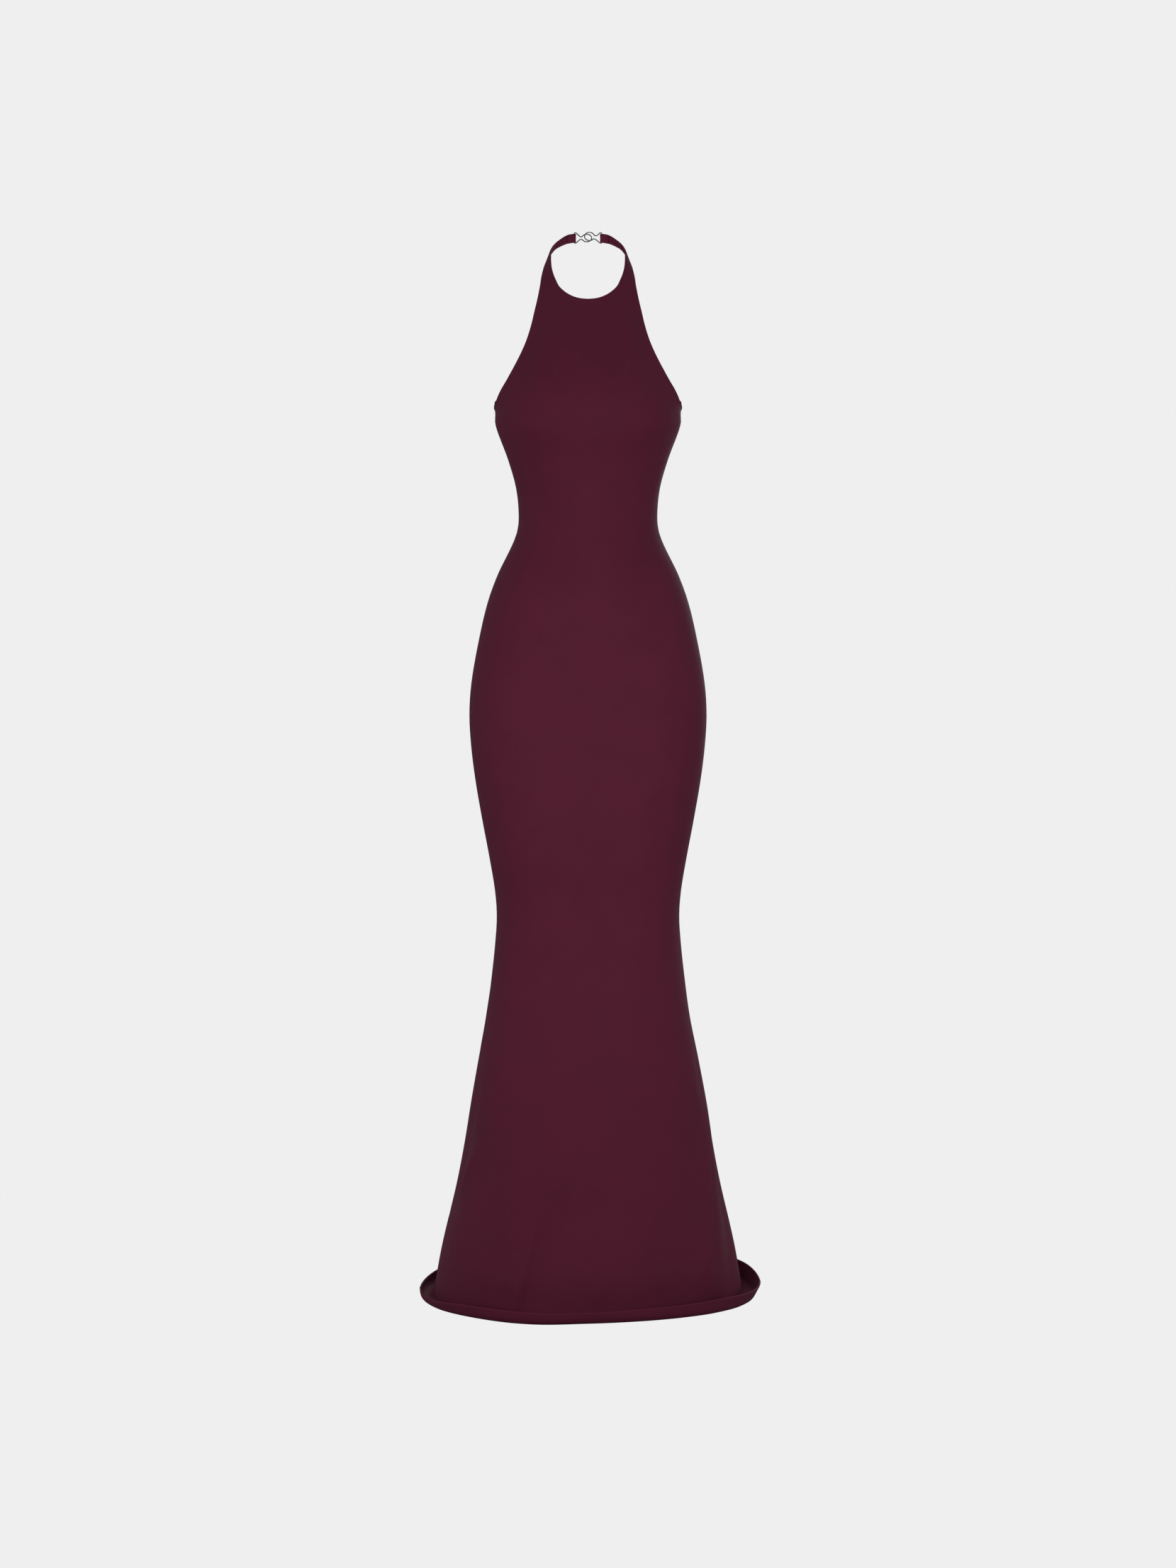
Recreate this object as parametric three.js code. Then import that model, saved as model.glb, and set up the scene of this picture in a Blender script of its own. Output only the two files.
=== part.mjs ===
// Long halter dress of burgundy jersey, filled out on a general figure, with an open back
// and an interlocked wire clasp at the nape. Millimetres, +Z up, the front faces -Y.
import * as THREE from 'three';

// the tables give heights above the floor and depths from the side seams
const napeHeight = 1469.3;
const napeDepth = 59;
const jersey = 1.5;
const turnedEdge = 2.2;
const turnedHem = 2.4;
const seamGap = 0.3;
const columns = 12;
const strapColumns = 4;
const degree = Math.PI / 180;

// hem: the skirt turns outward on this radius and its edge stands up again
const hemRadius = 8.5;
const hemSlope = 77 * degree;
const hemStand = 11.5;
const hemCurl = 12 * degree;
const hemTurn = hemRadius * (1 - Math.cos(hemSlope));
const hemLength = hemRadius * (hemSlope + Math.PI / 2 + hemCurl) + hemStand;

// strap ends folded round the bars of the clasp
const wire = 1.5;
const foldWall = 1.2;
const foldRadius = wire / 2 + 0.4 + foldWall;

// sections of the filled dress; above 1232 they give the figure under the bib
const sections = [
  { height: 6, half: 215.5, front: 214, back: 214, middle: 0, square: 2 },
  { height: 36, half: 210.6, front: 208, back: 209, middle: 0, square: 5 },
  { height: 67, half: 205, front: 201, back: 203, middle: 0, square: 9 },
  { height: 97, half: 198.4, front: 194, back: 196, middle: 0, square: 12 },
  { height: 157, half: 184.4, front: 180, back: 183, middle: 0, square: 15 },
  { height: 217, half: 173, front: 168, back: 172, middle: 0, square: 17 },
  { height: 277, half: 163.2, front: 157, back: 161, middle: 0, square: 18 },
  { height: 337, half: 152.3, front: 146, back: 150, middle: 0, square: 18 },
  { height: 396, half: 140.8, front: 134, back: 139, middle: 0, square: 17 },
  { height: 456, half: 133, front: 123, back: 129, middle: 0, square: 15 },
  { height: 500, half: 128.4, front: 116, back: 123, middle: 0, square: 14 },
  { height: 535, half: 126.3, front: 112, back: 120, middle: 0, square: 13 },
  { height: 570, half: 128.6, front: 111, back: 119, middle: 0, square: 13 },
  { height: 614, half: 135.7, front: 111, back: 119, middle: 0, square: 14 },
  { height: 673, half: 146.8, front: 112, back: 120, middle: 0, square: 15 },
  { height: 722, half: 155.3, front: 112, back: 122, middle: 0, square: 15 },
  { height: 770, half: 161.3, front: 111, back: 124, middle: 0, square: 15 },
  { height: 815, half: 163.7, front: 110, back: 125, middle: 0, square: 15 },
  { height: 860, half: 160.5, front: 109, back: 124, middle: 0, square: 14 },
  { height: 918, half: 150.1, front: 107, back: 118, middle: 0, square: 12 },
  { height: 967, half: 138.5, front: 105, back: 108, middle: 0, square: 9 },
  { height: 1006, half: 124.4, front: 101, back: 96, middle: 0, square: 6 },
  { height: 1045, half: 105.3, front: 95, back: 84, middle: 0, square: 3 },
  { height: 1064, half: 97.9, front: 92.4, back: 79.5, middle: 0, square: 2 },
  { height: 1084, half: 95.3, front: 91, back: 77, middle: 0, square: 1 },
  { height: 1123, half: 98.6, front: 92, back: 77, middle: 0, square: 0 },
  { height: 1162, half: 109.3, front: 100, back: 81, middle: 0, square: 0 },
  { height: 1196, half: 121.8, front: 112, back: 86, middle: 0, square: 0 },
  { height: 1214, half: 127.1, front: 116, back: 88.3, middle: 0, square: 0 },
  { height: 1230, half: 127, front: 119, back: 90, middle: 0, square: 0 },
  { height: 1250, half: 132.5, front: 117, back: 91, middle: 0, square: -1 },
  { height: 1275, half: 131.5, front: 109, back: 92, middle: 0, square: -2 },
  { height: 1300, half: 125, front: 98, back: 92, middle: 0, square: -3 },
  { height: 1325, half: 115, front: 86, back: 92, middle: 2, square: -3.5 },
  { height: 1350, half: 104, front: 73, back: 90, middle: 5, square: -3.5 },
  { height: 1370, half: 95, front: 62.5, back: 88, middle: 7, square: -3 },
  { height: 1385, half: 87.5, front: 54.5, back: 84, middle: 8, square: -2 },
  { height: 1404, half: 79.3, front: 45.7, back: 78, middle: 9, square: 0 },
  { height: 1420, half: 72, front: 41, back: 73, middle: 9, square: 0 },
];

// soft swells of the general figure, paired left and right
const swells = [
  { across: 66, height: 1222, spread: 35, rise: 44, out: 14, backward: 0 },
  { across: 80, height: 1209, spread: 26, rise: 18, out: 7.5, backward: 0 },
  { across: 90, height: 1180, spread: 24, rise: 18, out: -3, backward: 0 },
  { across: 68, height: 850, spread: 48, rise: 72, out: 8, backward: 1 },
  { across: 60, height: 700, spread: 46, rise: 120, out: 3, backward: 0 },
  { across: 0, height: 14, spread: 115, rise: 20, out: -3.5, backward: 0 },
  { across: 0, height: 462, spread: 80, rise: 26, out: -1.4, backward: 0 },
];

// side edge of the bib from the underarm to the foot of the strap
const bibEdge = [
  { height: 1232, half: 127.1 },
  { height: 1239, half: 123.1 },
  { height: 1249, half: 119.8 },
  { height: 1259, half: 115.4 },
  { height: 1270, half: 109.3 },
  { height: 1288, half: 100.6 },
  { height: 1307, half: 92.1 },
  { height: 1326, half: 84.8 },
  { height: 1346, half: 79 },
  { height: 1365, half: 74.6 },
  { height: 1384, half: 69.6 },
  { height: 1402, half: 65 },
];

// neckline from the centre front to the foot of the strap
const neckline = [
  { half: 0, height: 1380.6 },
  { half: 10, height: 1381.5 },
  { half: 18.8, height: 1383.8 },
  { half: 28.4, height: 1388.6 },
  { half: 36, height: 1394.6 },
  { half: 41.4, height: 1400.6 },
  { half: 43, height: 1404 },
];

// neck strap: its neck side (n) and its outer side (o) from the bib to the bar of the clasp
const strap = [
  { nx: 43, ny: -37, nz: 1404, ox: 65, oy: -22, oz: 1402 },
  { nx: 47.5, ny: -28, nz: 1414.5, ox: 63.9, oy: -14.5, oz: 1410.5 },
  { nx: 50.3, ny: -17.5, nz: 1425, ox: 62.2, oy: -6, oz: 1419 },
  { nx: 51.3, ny: -6, nz: 1435, ox: 60.2, oy: 3.5, oz: 1427 },
  { nx: 51.6, ny: 5, nz: 1442, ox: 57.6, oy: 13, oz: 1434 },
  { nx: 51.6, ny: 15, nz: 1448.5, ox: 54.3, oy: 22.5, oz: 1440.5 },
  { nx: 49.3, ny: 24.5, nz: 1454.8, ox: 50.7, oy: 31.5, oz: 1447 },
  { nx: 44.5, ny: 33.5, nz: 1461, ox: 45.5, oy: 40, oz: 1453 },
  { nx: 37.5, ny: 42.5, nz: 1467, ox: 38.3, oy: 48.3, oz: 1457.4 },
  { nx: 29, ny: 50.8, nz: 1472.6, ox: 29.2, oy: 55, oz: 1461.5 },
  { nx: 20.4, ny: 57, nz: 1474.6, ox: 20.4, oy: 59.8, oz: 1464 },
];

// the hem by the angle from the centre front, right side positive: its height above the floor,
// how much longer or shorter than hemStand the lip is, and how far it leans out, in degrees
const hemShape = [
  { angle: -180, lift: 8, taller: 0, lean: 5 },
  { angle: -150, lift: 5, taller: -2, lean: 4 },
  { angle: -120, lift: 2, taller: -5, lean: 2 },
  { angle: -90, lift: 0, taller: -10, lean: 7 },
  { angle: -65, lift: 3.5, taller: -11, lean: 19 },
  { angle: -45, lift: 6, taller: -6, lean: 13 },
  { angle: -20, lift: 6.5, taller: -7, lean: 5 },
  { angle: 0, lift: 10, taller: -8, lean: 5 },
  { angle: 25, lift: 11.2, taller: -6, lean: 5 },
  { angle: 50, lift: 9, taller: -4, lean: 10 },
  { angle: 70, lift: 4.5, taller: -3, lean: 24 },
  { angle: 90, lift: 2, taller: -1, lean: 27 },
  { angle: 110, lift: 4, taller: 4, lean: 10 },
  { angle: 135, lift: 5, taller: 3, lean: 5 },
  { angle: 180, lift: 8, taller: 0, lean: 5 },
];

// largest folds of the skirt, from top to bottom; a negative rise is a trough
const folds = [
  { topAngle: -13, top: 190, lowAngle: -22, low: -20, width: 22, rise: -4 },
  { topAngle: -66, top: 330, lowAngle: -74, low: 110, width: 26, rise: -3.5 },
  { topAngle: 72, top: 330, lowAngle: 46, low: -30, width: 26, rise: 5.5 },
  { topAngle: 88, top: 270, lowAngle: 66, low: -30, width: 26, rise: -5.5 },
  { topAngle: -42, top: 470, lowAngle: -34, low: 90, width: 30, rise: 4 },
  { topAngle: 27, top: 1412, lowAngle: 26, low: 1222, width: 22, rise: 8 },
  { topAngle: -27, top: 1412, lowAngle: -26, low: 1222, width: 22, rise: 8 },
  { topAngle: 0, top: 1412, lowAngle: 0, low: 1222, width: 26, rise: 4.5 },
  { topAngle: 40, top: 1040, lowAngle: 40, low: 330, width: 34, rise: 4 },
  { topAngle: -40, top: 1040, lowAngle: -40, low: 330, width: 34, rise: 4 },
  { topAngle: 22, top: 300, lowAngle: 27, low: -20, width: 32, rise: 2.5 },
  { topAngle: 112, top: 390, lowAngle: 122, low: -20, width: 30, rise: 4 },
  { topAngle: 150, top: 300, lowAngle: 144, low: -30, width: 28, rise: -4 },
  { topAngle: -168, top: 430, lowAngle: -163, low: 30, width: 30, rise: 4 },
  { topAngle: -140, top: 260, lowAngle: -133, low: -20, width: 28, rise: -4.5 },
  { topAngle: -104, top: 350, lowAngle: -112, low: -20, width: 28, rise: 4 },
];

// smooth value of a table column between its rows
function read(rows, key, column, at) {
  let i = 0;
  while (i < rows.length - 2 && rows[i + 1][key] < at) i += 1;
  const slope = (k) => {
    const a = rows[Math.max(k - 1, 0)];
    const b = rows[Math.min(k + 1, rows.length - 1)];
    return (b[column] - a[column]) / (b[key] - a[key]);
  };
  const a = rows[i];
  const b = rows[i + 1];
  const span = b[key] - a[key];
  const t = Math.min(Math.max((at - a[key]) / span, 0), 1);
  const t2 = t * t;
  const t3 = t2 * t;
  return a[column] * (2 * t3 - 3 * t2 + 1) + b[column] * (3 * t2 - 2 * t3)
    + span * (slope(i) * (t3 - 2 * t2 + t) + slope(i + 1) * (t3 - t2));
}

function soft(t) {
  const c = Math.min(Math.max(t, 0), 1);
  return c * c * (3 - 2 * c);
}

function mix(a, b, t) {
  return a + (b - a) * t;
}

// shortest signed turn between two angles in degrees
function turn(a, b) {
  return ((a - b + 540) % 360) - 180;
}

function foldRise(degrees, height, radius) {
  let rise = 0;
  for (const fold of folds) {
    const t = (height - fold.low) / (fold.top - fold.low);
    if (t <= 0 || t >= 1) continue;
    const along = soft(t * 4) * soft((1 - t) * 2.2);
    const away = turn(degrees, mix(fold.lowAngle, fold.topAngle, t)) * degree * radius;
    rise += fold.rise * along * Math.exp(-((away / fold.width) ** 2));
  }
  return rise;
}

function swellOut(x, height, backward) {
  let out = 0;
  for (const swell of swells) {
    if (swell.backward !== backward) continue;
    const up = Math.exp(-0.5 * ((height - swell.height) / swell.rise) ** 2);
    for (const side of [-1, 1]) {
      out += swell.out * up * Math.exp(-0.5 * ((x - side * swell.across) / swell.spread) ** 2);
    }
  }
  return out;
}

// how far the rolled hem goes out and up, a length along the cloth past the turn
function roll(length, taller, lean) {
  const bend = hemSlope + Math.PI / 2 - lean;
  const straight = hemLength - hemRadius * (bend + hemCurl);
  const first = Math.min(length / hemRadius, bend);
  let out = hemRadius * (Math.sin(hemSlope) - Math.sin(hemSlope - first));
  let up = hemRadius * (Math.cos(hemSlope) - Math.cos(hemSlope - first));
  const past = length - bend * hemRadius;
  const stand = Math.min(Math.max(past / straight, 0), 1) * (straight + taller);
  out += stand * Math.sin(lean);
  up += stand * Math.cos(lean);
  const last = Math.max(past - straight, 0) / hemRadius;
  out += hemRadius * (Math.cos(lean - last) - Math.cos(lean));
  up += hemRadius * (Math.sin(lean) - Math.sin(lean - last));
  return { out, up };
}

// outer face of the cloth: angle from the centre front (radians, right positive) and height;
// below the hem turn the height goes on as a length along the roll
function facePoint(angle, height) {
  const base = Math.max(height, hemTurn);
  const half = read(sections, 'height', 'half', base);
  const middle = read(sections, 'height', 'middle', base);
  const cos = Math.cos(angle);
  const sin = Math.sin(angle);
  const column = cos > 0 ? 'front' : 'back';
  const edge = read(sections, 'height', column, base);
  const depth = cos > 0 ? edge + middle : edge - middle;
  const aside = 1.3 * Math.exp(-(((base - 230) / 130) ** 2));
  const x = half * sin + aside;
  const y = middle - depth * cos;
  const normal = new THREE.Vector2(depth * sin, -half * cos).normalize();
  const degrees = angle / degree;
  const wrapped = turn(degrees, 0);
  const lift = read(hemShape, 'angle', 'lift', wrapped) * (1 - soft(base / 260));
  const facing = soft(Math.abs(cos) * 2.5);
  const hem = hemTurn - Math.min(height, hemTurn);
  const lean = read(hemShape, 'angle', 'lean', wrapped) * degree;
  const curl = roll(hem, read(hemShape, 'angle', 'taller', wrapped), lean);
  // a front that is flatter in the middle and rounder at the sides than an ellipse, or the reverse
  const square = cos > 0 ? read(sections, 'height', 'square', base) * Math.sin(2 * angle) ** 2 : 0;
  const out = curl.out + square + foldRise(wrapped, Math.min(height, base), half)
    + facing * swellOut(x, base, cos > 0 ? 0 : 1);
  return new THREE.Vector3(x + normal.x * out, y + normal.y * out, base + lift + curl.up);
}

function faceNormal(angle, height) {
  const step = 0.002;
  const across = facePoint(angle + step, height).sub(facePoint(angle - step, height));
  const up = facePoint(angle, height + 0.2).sub(facePoint(angle, height - 0.2));
  return across.cross(up).normalize();
}

// one point of a panel: outer face and inner face
function clothPoint(angle, height, wall, shift) {
  const outer = facePoint(angle, height);
  const normal = faceNormal(angle, height);
  outer.y += shift;
  const inner = outer.clone().addScaledVector(normal, -wall);
  if (shift) inner.y = outer.y;
  return { outer, inner };
}

function angleAt(half, height) {
  const full = read(sections, 'height', 'half', height);
  return Math.asin(Math.min(half / full, 1));
}

// triangles between two rows of points, lower row first, both running the same way
function stitch(faces, lower, upper) {
  let i = 0;
  let j = 0;
  const n = lower.length - 1;
  const m = upper.length - 1;
  while (i < n || j < m) {
    if (j === m || (i < n && (i + 1) / n <= (j + 1) / m)) {
      faces.push([lower[i], lower[i + 1], upper[j]]);
      i += 1;
    } else {
      faces.push([lower[i], upper[j + 1], upper[j]]);
      j += 1;
    }
  }
}

// closed solid from outer faces: inner faces behind them and a rim along every free edge
function clothSolid(faces) {
  const ids = new Map();
  const points = [];
  for (const face of faces) {
    for (const point of face) {
      if (!ids.has(point)) {
        ids.set(point, points.length);
        points.push(point);
      }
    }
  }
  const count = points.length;
  const index = [];
  const edges = new Map();
  for (const face of faces) {
    const [a, b, c] = face.map((point) => ids.get(point));
    index.push(a, b, c, a + count, c + count, b + count);
    for (const [p, q] of [[a, b], [b, c], [c, a]]) {
      edges.set(`${p}_${q}`, [p, q]);
    }
  }
  for (const [p, q] of edges.values()) {
    if (edges.has(`${q}_${p}`)) continue;
    index.push(q, p, p + count, q, p + count, q + count);
  }
  const positions = new Float32Array(count * 6);
  points.forEach((point, i) => {
    place(point.outer).toArray(positions, i * 3);
    place(point.inner).toArray(positions, (i + count) * 3);
  });
  const geometry = new THREE.BufferGeometry();
  geometry.setAttribute('position', new THREE.BufferAttribute(positions, 3));
  geometry.setIndex(index);
  geometry.computeVertexNormals();
  return geometry;
}

// from floor heights and side seam depths to the frame of the object
function place(point) {
  return new THREE.Vector3(point.x, point.y - napeDepth, point.z - napeHeight);
}

// heights of the rows shared by front and back, from the rim of the hem upward
function rowHeights() {
  const rows = [];
  const hemSteps = 8;
  for (let i = 0; i < hemSteps; i += 1) {
    rows.push(hemTurn - hemLength * (1 - i / hemSteps));
  }
  const spans = [
    { from: hemTurn, to: 97, step: 18 },
    { from: 97, to: 700, step: 29 },
    { from: 700, to: 1000, step: 27 },
    { from: 1000, to: 1150, step: 15 },
  ];
  for (const span of spans) {
    const steps = Math.round((span.to - span.from) / span.step);
    for (let i = 0; i < steps; i += 1) {
      rows.push(span.from + (span.to - span.from) * i / steps);
    }
  }
  rows.push(1150);
  return rows;
}

function wallAt(height) {
  return mix(turnedHem, jersey, soft((height - hemTurn + hemLength - 24) / 8));
}

// the edge of the bib as equal steps from the underarm to the strap
function bibEdgePoints(steps) {
  const fine = [];
  for (let i = 0; i <= 400; i += 1) {
    const height = mix(1232, 1402, i / 400);
    const half = read(bibEdge, 'height', 'half', height);
    const angle = i === 0 ? Math.PI / 2 : angleAt(half, height);
    fine.push({ height, angle, at: facePoint(angle, height) });
  }
  let length = 0;
  fine[0].length = 0;
  for (let i = 1; i < fine.length; i += 1) {
    length += fine[i].at.distanceTo(fine[i - 1].at);
    fine[i].length = length;
  }
  const points = [];
  for (let k = 0; k <= steps; k += 1) {
    const wanted = length * k / steps;
    points.push(fine.find((p) => p.length >= wanted - 1e-6) ?? fine[fine.length - 1]);
  }
  return points;
}

function necklinePoints(steps) {
  const fine = [];
  for (let i = 0; i <= 200; i += 1) {
    const half = 43 * i / 200;
    const height = read(neckline, 'half', 'height', half);
    fine.push({ half, height });
  }
  let length = 0;
  fine[0].length = 0;
  for (let i = 1; i < fine.length; i += 1) {
    length += Math.hypot(fine[i].half - fine[i - 1].half, fine[i].height - fine[i - 1].height);
    fine[i].length = length;
  }
  const points = [];
  for (let k = 0; k <= steps; k += 1) {
    const wanted = length * k / steps;
    const found = fine.find((p) => p.length >= wanted - 1e-6) ?? fine[fine.length - 1];
    points.push({ height: found.height, angle: angleAt(found.half, found.height) });
  }
  return points;
}

// outer point, outward normal and wall of the strap; u counts table rows, s runs from neck side
function strapFrame(u, s, side) {
  const at = (v, w) => {
    const rows = strap.map((row, i) => ({ ...row, i }));
    const value = (column) => read(rows, 'i', column, Math.min(Math.max(v, 0), strap.length - 1));
    return new THREE.Vector3(
      side * mix(value('nx'), value('ox'), w),
      mix(value('ny'), value('oy'), w),
      mix(value('nz'), value('oz'), w),
    );
  };
  const last = strap.length - 1;
  const a = at(Math.max(u - 0.05, 0), s);
  const b = at(Math.min(u + 0.05, last), s);
  const along = b.sub(a).normalize();
  const across = at(u, 1).sub(at(u, 0)).normalize();
  const normal = across.cross(along).multiplyScalar(side).normalize();
  const point = at(u, s).addScaledVector(normal, 0.9 * 4 * s * (1 - s) * (1 - soft(u - 8.5)));
  return { point, normal, along };
}

function strapRow(u, side) {
  const row = [];
  for (let j = 0; j <= strapColumns; j += 1) {
    const s = side > 0 ? j / strapColumns : 1 - j / strapColumns;
    const { point, normal } = strapFrame(u, s, side);
    const wall = mix(1.9, foldWall, soft((u - 6.5) / 2.2));
    row.push({ outer: point, inner: point.clone().addScaledVector(normal, -wall) });
  }
  return row;
}

// rows that carry the strap end round the bar and back on its neck side
function strapEndRows(side) {
  const rows = [];
  const end = strap.length - 1;
  const spread = (make) => {
    const row = [];
    for (let j = 0; j <= strapColumns; j += 1) {
      const s = side > 0 ? j / strapColumns : 1 - j / strapColumns;
      row.push(make(s));
    }
    rows.push(row);
  };
  for (let k = 1; k <= 6; k += 1) {
    const bend = Math.PI * k / 6;
    spread((s) => {
      const { point, normal, along } = strapFrame(end, s, side);
      const centre = point.clone().addScaledVector(normal, -foldRadius);
      const out = normal.clone().multiplyScalar(Math.cos(bend)).addScaledVector(along, Math.sin(bend));
      return {
        outer: centre.clone().addScaledVector(out, foldRadius),
        inner: centre.clone().addScaledVector(out, foldRadius - foldWall),
      };
    });
  }
  for (const back of [0.12, 0.5, 0.95]) {
    const depth = mix(2 * foldRadius, 2 * foldWall + 0.35, soft((back - 0.12) / 0.6));
    spread((s) => {
      const { point, normal } = strapFrame(end - back, mix(0.04, 0.96, s), side);
      return {
        outer: point.clone().addScaledVector(normal, -depth),
        inner: point.clone().addScaledVector(normal, foldWall - depth),
      };
    });
  }
  return rows;
}

function frontPanel() {
  const faces = [];
  const rows = [];
  for (const height of rowHeights()) {
    const row = [];
    for (let j = -columns; j <= columns; j += 1) {
      const s = j / columns;
      const shift = Math.abs(j) === columns ? -seamGap / 2 : 0;
      row.push(clothPoint(s * Math.PI / 2, height, wallAt(height), shift));
    }
    rows.push(row);
  }
  const necks = 7;
  const bibSteps = 18;
  const edge = bibEdgePoints(bibSteps);
  const neck = necklinePoints(necks);
  const split = bibSteps - necks;
  const lower = [
    { inner: 1165, outer: 1165 },
    { inner: 1181, outer: 1180 },
    { inner: 1197, outer: 1194 },
    { inner: 1212, outer: 1208 },
    { inner: 1226, outer: 1221 },
  ];
  for (const pair of lower) {
    const row = [];
    for (let j = -columns; j <= columns; j += 1) {
      const s = Math.abs(j) / columns;
      const height = mix(pair.inner, pair.outer, s * s);
      const shift = s === 1 ? -seamGap / 2 : 0;
      row.push(clothPoint(j / columns * Math.PI / 2, height, jersey, shift));
    }
    rows.push(row);
  }
  const bibWall = (s) => mix(jersey, turnedEdge, soft((s - 0.85) / 0.08));
  for (let k = 0; k <= split; k += 1) {
    const row = [];
    const centre = mix(1240, 1380.6, k / split);
    for (let j = -columns; j <= columns; j += 1) {
      const s = Math.abs(j) / columns;
      const angle = Math.sign(j) * s * edge[k].angle;
      const height = mix(centre, edge[k].height, s * s);
      const shift = s === 1 && k === 0 ? -seamGap / 2 : 0;
      const rim = k === split ? turnedEdge : jersey;
      row.push(clothPoint(angle, height, Math.max(bibWall(s), s < 0.1 ? rim : 0), shift));
    }
    rows.push(row);
  }
  for (let i = 0; i < rows.length - 1; i += 1) {
    stitch(faces, rows[i], rows[i + 1]);
  }
  const top = rows[rows.length - 1];
  for (const side of [-1, 1]) {
    let below = side < 0 ? top.slice(0, columns + 1) : top.slice(columns);
    for (let k = 1; k < necks; k += 1) {
      const start = neck[k];
      const finish = edge[split + k];
      const count = k < 4 ? columns : 8;
      const row = [];
      for (let j = 0; j <= count; j += 1) {
        const s = side > 0 ? j / count : 1 - j / count;
        const angle = side * mix(start.angle, finish.angle, s);
        const height = mix(start.height, finish.height, s);
        const rim = Math.max(bibWall(s), bibWall(1 - s));
        row.push(clothPoint(angle, height, rim, 0));
      }
      stitch(faces, below, row);
      below = row;
    }
    for (let u = 0; u < strap.length - 1; u += 0.5) {
      const row = strapRow(u, side);
      stitch(faces, below, row);
      below = row;
    }
    const last = strapRow(strap.length - 1, side);
    stitch(faces, below, last);
    below = last;
    for (const row of strapEndRows(side)) {
      stitch(faces, below, row);
      below = row;
    }
  }
  return clothSolid(faces);
}

// top edge of the open back, from the side seam down to the small of the back
function backTop(angle) {
  const t = Math.abs(angle - Math.PI) / (Math.PI / 2);
  return 1046 + (1232 - 1046) * (0.5 - 0.5 * Math.cos(Math.PI * t ** 1.15));
}

function backPanel() {
  const faces = [];
  const rows = [];
  const shiftAt = (j) => (Math.abs(j) === columns ? seamGap / 2 : 0);
  const angleOf = (j) => Math.PI + j / columns * Math.PI / 2;
  for (const height of rowHeights().filter((h) => h < 985)) {
    const row = [];
    for (let j = -columns; j <= columns; j += 1) {
      row.push(clothPoint(angleOf(j), height, wallAt(height), shiftAt(j)));
    }
    rows.push(row);
  }
  const steps = 14;
  for (let k = 0; k <= steps; k += 1) {
    const row = [];
    for (let j = -columns; j <= columns; j += 1) {
      const angle = angleOf(j);
      const height = mix(985, backTop(angle), k / steps);
      const wall = mix(jersey, turnedEdge, soft((k - steps + 2) * 2));
      row.push(clothPoint(angle, height, wall, shiftAt(j)));
    }
    rows.push(row);
  }
  for (let i = 0; i < rows.length - 1; i += 1) {
    stitch(faces, rows[i], rows[i + 1]);
  }
  return clothSolid(faces);
}

// closed round wire along a loop of points
function wireLoop(points, radius, sides) {
  const count = points.length;
  const tangents = points.map((p, i) => {
    const next = points[(i + 1) % count];
    const previous = points[(i + count - 1) % count];
    return next.clone().sub(previous).normalize();
  });
  const frames = [];
  let side = new THREE.Vector3(0, 1, 0);
  for (let i = 0; i < count; i += 1) {
    side = side.clone().addScaledVector(tangents[i], -side.dot(tangents[i])).normalize();
    frames.push(side);
  }
  const closing = side.clone().addScaledVector(tangents[0], -side.dot(tangents[0])).normalize();
  const twist = Math.atan2(
    closing.clone().cross(frames[0]).dot(tangents[0]),
    closing.dot(frames[0]),
  );
  const positions = [];
  const index = [];
  for (let i = 0; i < count; i += 1) {
    const a = frames[i].clone().applyAxisAngle(tangents[i], twist * i / count);
    const b = tangents[i].clone().cross(a);
    for (let j = 0; j < sides; j += 1) {
      const angle = 2 * Math.PI * j / sides;
      const p = points[i].clone()
        .addScaledVector(a, radius * Math.cos(angle))
        .addScaledVector(b, radius * Math.sin(angle));
      place(p).toArray(positions, positions.length);
      const next = ((i + 1) % count) * sides;
      const here = i * sides;
      const k = (j + 1) % sides;
      index.push(here + j, next + k, next + j, here + j, here + k, next + k);
    }
  }
  const geometry = new THREE.BufferGeometry();
  geometry.setAttribute('position', new THREE.BufferAttribute(new Float32Array(positions), 3));
  geometry.setIndex(index);
  geometry.computeVertexNormals();
  return geometry;
}

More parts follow.
